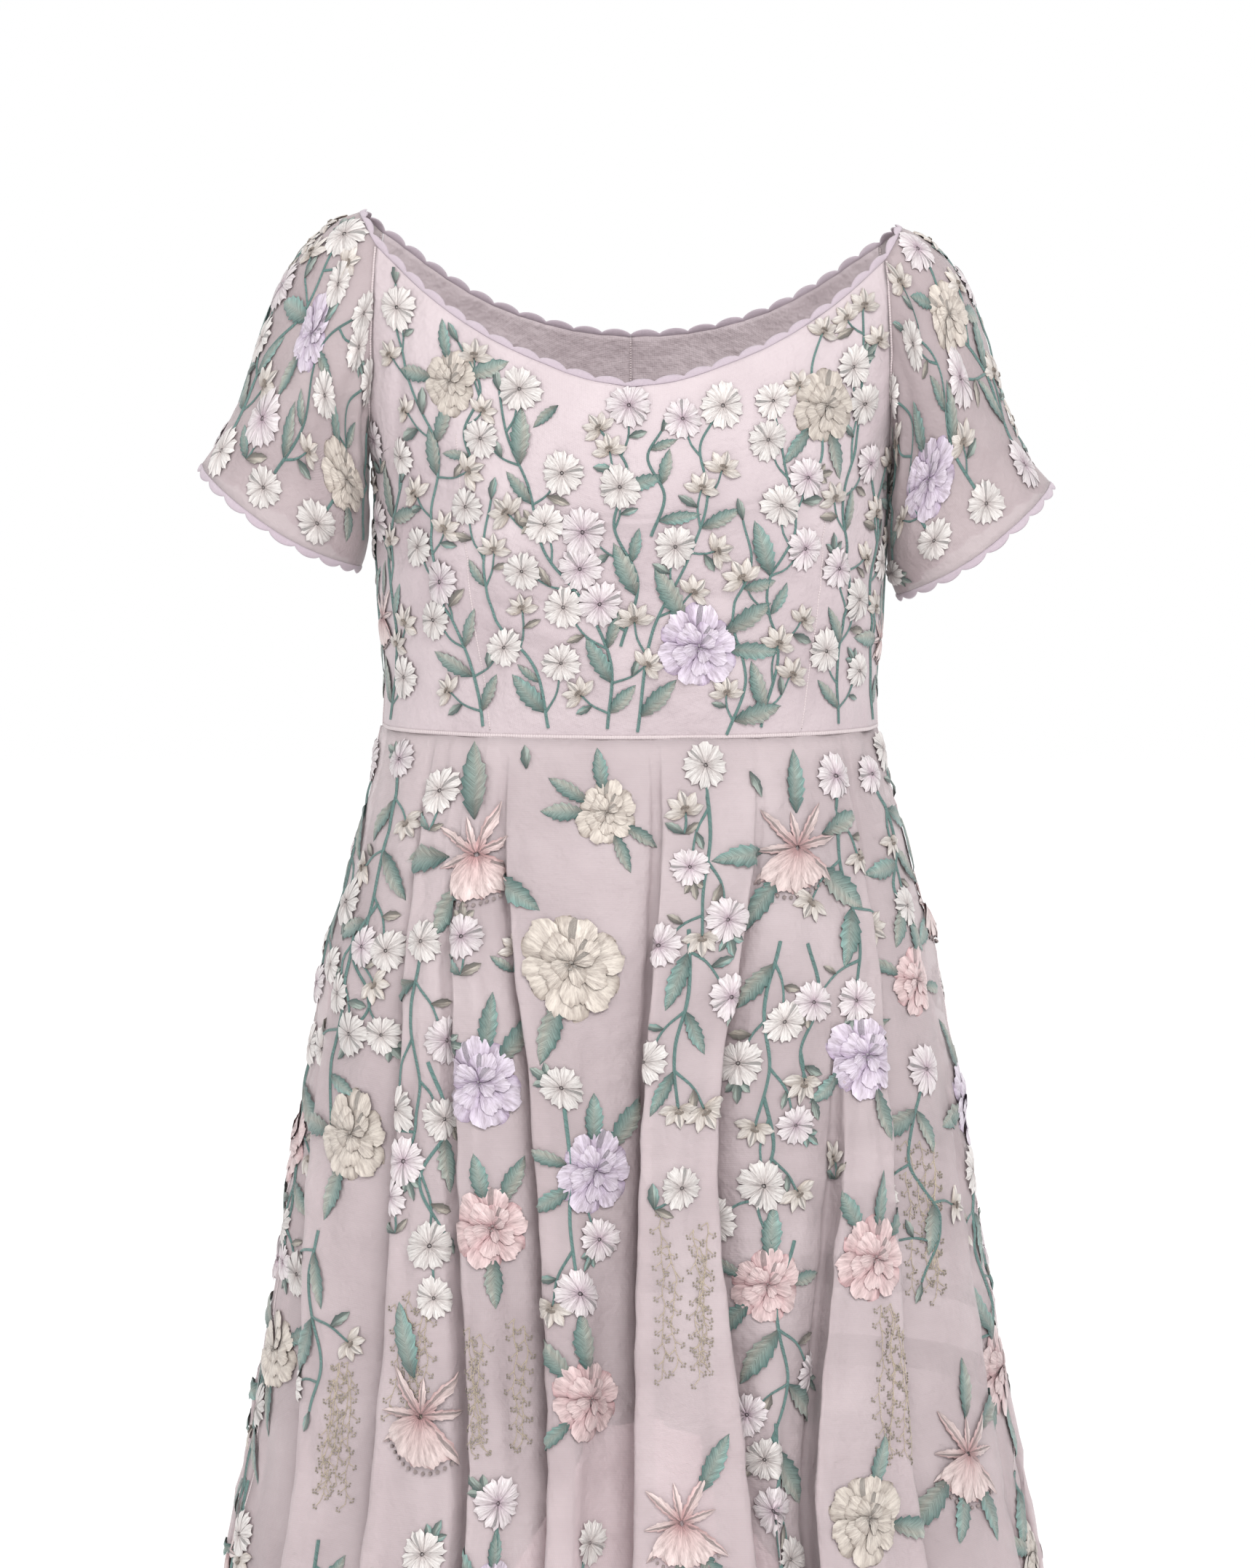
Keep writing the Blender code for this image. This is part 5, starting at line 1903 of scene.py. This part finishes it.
# %% [markdown]
# ## Embroidery of the bodice
# Sprays climb from the waist to the neckline. Each row below is a main stem: where its
# lengths are measured from, and places across from there and down from the shoulder, in
# millimetres. The back carries the same kind of sprays.

# %% Bodice embroidery
BODICE_LARGE = (
    # from, across, drop, kind, width in mm
    ("front", -112, 108, "beige", 36),
    ("front", 122, 118, "beige", 42),
    ("front", 40, 262, "lilac", 48),
    ("front", -190, 250, "winged", 36),
    ("front", 196, 262, "winged", 32),
    ("back", -62, 150, "beige", 40),
    ("back", 70, 236, "lilac", 44),
    ("back", -120, 262, "salmon", 40),
    ("back", 118, 120, "beige", 36),
)
BODICE_STEMS = {
    "front": (
        ((-14, 312), (-12, 272), (-28, 236), (-52, 206), (-62, 168), (-76, 136), (-80, 112)),
        ((4, 314), (14, 250), (34, 210), (46, 170), (42, 140), (50, 126)),
        ((-6, 262), (4, 222), (-10, 190), (-2, 156), (-18, 134)),
        ((-92, 312), (-104, 268), (-124, 232), (-132, 190), (-124, 150), (-142, 112),
         (-150, 72), (-148, 50)),
        ((80, 312), (92, 268), (84, 228), (104, 190), (96, 154), (88, 122)),
        ((138, 312), (140, 262), (150, 220), (142, 178), (154, 132), (150, 92), (146, 58)),
        ((-176, 312), (-168, 262), (-178, 212), (-160, 168)),
        ((180, 312), (176, 232), (184, 190), (172, 158)),
        ((-50, 312), (-58, 276), (-84, 246), (-92, 206), (-86, 176)),
        ((58, 316), (70, 286), (62, 240), (74, 212), (68, 186)),
        ((-222, 312), (-214, 262), (-222, 218), (-210, 172)),
        ((222, 312), (214, 262), (222, 218), (210, 172)),
        ((-96, 160), (-104, 138), (-92, 112), (-106, 84)),
        ((112, 170), (122, 150), (112, 92), (118, 74)),
        ((12, 196), (20, 172), (10, 148), (18, 134)),
    ),
    "back": (
        ((-26, 312), (-30, 262), (-16, 218), (-34, 176), (-24, 132), (-36, 96)),
        ((30, 312), (26, 262), (40, 218), (26, 176), (38, 132), (28, 96)),
        ((-84, 312), (-92, 256), (-80, 208), (-98, 160), (-92, 118), (-112, 78)),
        ((88, 312), (92, 262), (104, 208), (88, 160), (98, 118), (112, 72)),
        ((-136, 312), (-146, 258), (-134, 208), (-148, 160), (-150, 110), (-144, 60)),
        ((138, 312), (146, 258), (134, 208), (150, 160), (146, 110), (146, 58)),
    ),
}
FILL_TRIES = 700


def bodice_anchor(middle, across):
    """An anchor at the top of the bodice, at the centre front or the centre back."""
    angle = 0.0 if middle == "front" else math.copysign(math.pi, -across)
    anchor = Anchor(bodice, drop_row(0.0), angle_column(angle))
    anchor.region = f"bodice_{middle}"
    return anchor


draw = np.random.default_rng(21)
for middle, across, drop, kind, width in BODICE_LARGE:
    plant(bodice_anchor(middle, across), np.array([across, -drop]) * MM, kind, width * MM, draw)
for middle, stems in BODICE_STEMS.items():
    for stem in stems:
        flat = [(x * MM, -drop * MM) for x, drop in stem]
        grow_spray(bodice_anchor(middle, stem[0][0]), flat, BODICE_STYLE, draw)
back_anchors = [bodice_anchor("back", -1), bodice_anchor("back", 1)]
fill_gaps([bodice_anchor("front", 0)], FILL_TRIES, 0.225, 0.310, BODICE_STYLE, draw)
fill_gaps(back_anchors, FILL_TRIES, 0.190, 0.310, BODICE_STYLE, draw)
print("motifs on the bodice:", disc_count)

# %% [markdown]
# ## Embroidery of the sleeves
# Sprays climb each sleeve all round, with a large flower near the hem and one near the
# shoulder.

# %% Sleeve embroidery
# Across from the sleeve's front, way down from the armhole seam, kind, width, in mm
SLEEVE_LARGE = {
    "right": ((34, 84, "beige", 40), (-34, 52, "lilac", 32), (150, 60, "beige", 34)),
    "left": ((-16, 88, "lilac", 42), (52, 48, "beige", 34), (-150, 60, "beige", 34)),
}
SLEEVE_STEMS = (
    ((-60, 118), (-66, 86), (-52, 54), (-60, 20)),
    ((-14, 116), (-8, 80), (-20, 46), (-10, 16)),
    ((26, 112), (34, 76), (22, 44), (32, 18)),
    ((66, 116), (58, 84), (70, 50), (62, 20)),
    ((-104, 116), (-98, 80), (-110, 46), (-100, 18)),
    ((112, 112), (104, 80), (116, 46), (106, 18)),
    ((-146, 112), (-140, 78), (-150, 44), (-142, 18)),
)
draw = np.random.default_rng(34)
for side, cloth in sleeves.items():
    anchor = Anchor(cloth, 0.0, sleeve_column(side, 0.25))
    for across, down, kind, width in SLEEVE_LARGE[side]:
        plant(anchor, np.array([across, -down]) * MM, kind, width * MM, draw)
    for stem in SLEEVE_STEMS:
        flat = [(-SLEEVES[side][0] * x * MM, -down * MM) for x, down in stem]
        grow_spray(anchor, flat, BODICE_STYLE, draw, True)
    fill_gaps([anchor], 400, 0.200, 0.130, BODICE_STYLE, draw)
print("motifs so far:", disc_count)

# %% [markdown]
# ## Embroidery of the skirt
# The large flowers come first, each on a ridge between two folds. They are listed one by
# one for the front's ridges, and placed by rule on the others and below.

# %% Skirt embroidery
SKIRT_LARGE = (
    # ridge, share across it, drop in mm, kind, width in mm
    (7, 0.8, 362, "beige", 35),
    (6, 0.5, 388, "winged", 58),
    (9, 0.6, 384, "winged", 56),
    (8, 0.8, 408, "lilac", 42),
    (7, 0.45, 452, "beige", 58),
    (5, 0.3, 402, "lilac", 36),
    (10, 0.75, 418, "beige", 44),
    (6, 0.4, 522, "lilac", 48),
    (10, 0.4, 510, "lilac", 48),
    (4, 0.75, 560, "beige", 50),
    (4, 0.4, 622, "salmon", 48),
    (7, 0.8, 572, "lilac", 46),
    (6, 0.5, 606, "salmon", 44),
    (10, 0.5, 628, "salmon", 46),
    (9, 0.3, 640, "salmon", 40),
    (11, 0.4, 470, "salmon", 38),
    (5, 0.6, 716, "winged", 60),
    (7, 0.55, 704, "salmon", 44),
    (8, 0.3, 772, "winged", 54),
    (10, 0.35, 778, "beige", 50),
    (11, 0.45, 752, "winged", 56),
    (3, 0.8, 700, "beige", 46),
    (6, 0.5, 820, "lilac", 40),
)
LARGE_KINDS = ("beige", "salmon", "lilac", "winged")
RULED_FLOWERS = 7
RULED_STEP = 0.140
LOWEST_FLOWER = 1.38


def skirt_anchor(ridge, share, drop):
    """An anchor on a ridge. The ridge at the centre back is two halves, -1 and 16."""
    if ridge == -1:
        column = 6.0
    elif ridge == len(FOLDS) - 1:
        column = len(skirt_hem_rows) - 7.0
    else:
        column = ridge_column(ridge, share)
    return Anchor(skirt, (drop - WAIST_DROP) / SKIRT_STEP, column)


draw = np.random.default_rng(55)
for ridge, share, drop, kind, width in SKIRT_LARGE:
    plant(skirt_anchor(ridge, share, drop * MM), (0.0, 0.0), kind, width * MM, draw, 5)
for ridge in range(-1, len(FOLDS)):
    first = 0.84 if 3 < ridge < 12 else 0.40
    for step in range(RULED_FLOWERS):
        drop = first + RULED_STEP * step + draw.uniform(0.0, 0.06)
        kind = LARGE_KINDS[int(draw.integers(4))]
        anchor = skirt_anchor(ridge, draw.uniform(0.3, 0.7), min(drop, LOWEST_FLOWER))
        plant(anchor, (0.0, 0.0), kind, draw.uniform(0.040, 0.054), draw, 4)
print("motifs with the large flowers:", disc_count)

# %% [markdown]
# The gold sprigs are patches of thin hanging lines. A line has short twigs to both sides, and
# each twig ends in three knots.

# %% Gold sprigs
SPRIG_PATCHES = (
    # ridge, share across it, then drop, width and height in mm
    (8, 0.35, 590, 42, 100),
    (6, 0.7, 650, 40, 90),
    (10, 0.7, 650, 42, 100),
    (11, 0.3, 560, 44, 100),
    (5, 0.3, 640, 36, 80),
    (4, 0.6, 690, 40, 90),
    (7, 0.3, 800, 42, 80),
    (9, 0.6, 800, 38, 90),
    (2, 0.5, 640, 42, 90),
    (14, 0.5, 640, 42, 90),
    (0, 0.5, 700, 42, 90),
    (15, 0.5, 800, 42, 90),
)
SPRIG_SPACING = 0.008
SPRIG_HALF_WIDTH = 0.0003


def stitch_sprigs(anchor, width, height, draw):
    """A patch of hanging sprigs, whose short twigs end in knots."""
    for _ in range(int(width / SPRIG_SPACING)):
        spots = [np.array([(draw.random() - 0.5) * width, -draw.random() * 0.25 * height])]
        while spots[-1][1] > -height * draw.uniform(0.8, 1.0) and len(spots) < 30:
            spots.append(spots[-1] + (draw.uniform(-0.002, 0.002), -draw.uniform(0.004, 0.006)))
        anchor.stitch_stem(smooth_path(spots), SPRIG_HALF_WIDTH, "gold", draw)
        for i, spot in enumerate(spots):
            way = math.pi + (-1) ** i * draw.uniform(0.6, 1.1)
            end = spot + toward(way, draw.uniform(0.003, 0.006))
            path = np.array([spot, 0.5 * (spot + end), end])
            anchor.stitch_stem(path, SPRIG_HALF_WIDTH, "gold", draw)
            for turn in (-1.2, 0.0, 1.2):
                place = end + toward(way + turn, 0.0015)
                anchor.stitch(knot, place, 0.0, 0.75, "gold", "sprigs", draw, 0.8)


sprig_draw = np.random.default_rng(77)
for ridge, share, drop, width, height in SPRIG_PATCHES:
    anchor = skirt_anchor(ridge, share, drop * MM)
    stitch_sprigs(anchor, width * MM, height * MM, sprig_draw)
    for part in (0.3, 0.6, 0.9):
        anchor.free((0.0, -part * height * MM), 0.4 * width * MM)
print("sprig patches:", len(SPRIG_PATCHES))

# %% [markdown]
# Trailing stems hang from a blossom each, at the waist and again at each level below it. Most
# ridges of the upper levels have two of them side by side. Lower down there is one to a
# ridge, with longer leaves. A stem is left out where a large flower or sprigs have its place.

# %% Trailing stems
LEVELS = 12
LEVEL_STEP = 0.089
FIRST_START = 0.346
STEM_ROOM = 0.004

for level in range(LEVELS):
    style = SKIRT_STYLE if level < 3 else LOWER_STYLE
    for ridge in range(-1, len(FOLDS)):
        single = level == 0 or level > 3 or ridge in (-1, len(FOLDS) - 1)
        for share in (draw.uniform(0.3, 0.7),) if single else (0.25, 0.75):
            start = FIRST_START + LEVEL_STEP * level + draw.uniform(-0.016, 0.02)
            sway = draw.uniform(-0.016, 0.016)
            reach = draw.uniform(0.080, 0.120)
            stem = np.array([(0.0, 0.0), (sway, -0.35), (-0.4 * sway, -0.7), (0.8 * sway, -1.0)])
            stem[:, 1] *= reach
            anchor = skirt_anchor(ridge, share, max(start, FIRST_START))
            if all(anchor.free(stem[i], STEM_ROOM, claim=False) for i in (0, 2)):
                grow_spray(anchor, stem, style, draw, True)
ridges = []
for ridge in range(-1, len(FOLDS)):
    ridges += [skirt_anchor(ridge, share, 0.335) for share in (0.3, 0.7)]
fill_gaps(ridges, 900, 0.030, 0.270, SKIRT_STYLE, draw)
print("motifs so far:", disc_count)

# %% [markdown]
# ## Joining the stitches
# All the stitches of one family on one panel become one mesh, with the thread colours on its
# points and the thread lengths in its UV map.

# %% Joined embroidery
def join_stitches(name, parts):
    """One piece of all the stitches kept under a name."""
    starts = np.cumsum([0] + [len(p[0]) for p in parts])[:-1]
    faces = np.concatenate([p[1] + s for p, s in zip(parts, starts)])
    points, colours, lengths = [np.concatenate([p[i] for p in parts]) for i in (0, 2, 3)]
    used, faces = np.unique(faces, return_inverse=True)
    faces = faces.reshape(-1, 3)
    mesh = bpy.data.meshes.new(name)
    mesh.vertices.add(len(used))
    mesh.vertices.foreach_set("co", points[used].ravel())
    mesh.loops.add(faces.size)
    mesh.loops.foreach_set("vertex_index", faces.ravel())
    mesh.polygons.add(len(faces))
    mesh.polygons.foreach_set("loop_start", np.arange(0, faces.size, 3))
    mesh.update(calc_edges=True)
    mesh.validate()
    tint = mesh.attributes.new("thread_colour", "FLOAT_COLOR", "POINT")
    tint.data.foreach_set("color", np.column_stack([colours[used], np.ones(len(used))]).ravel())
    piece = add_piece(name, mesh, satin_thread, lengths[used])
    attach(piece, "root")
    return len(faces)


total = 0
for name, parts in sorted(stitched.items()):
    count = join_stitches(name, parts)
    total += count
    print(name, count, "triangles")
print("embroidery in all:", total, "triangles")

# %% [markdown]
# ## Measure and finish
# The boxes of the imported gown and of the dressed one are kept.

# %% Measure and finish
boxes = {"cad": CAD_BOX, "visual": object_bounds()}
size = {name: [list(corner) for corner in box] for name, box in boxes.items()}
print("boxes kept:", ", ".join(size))
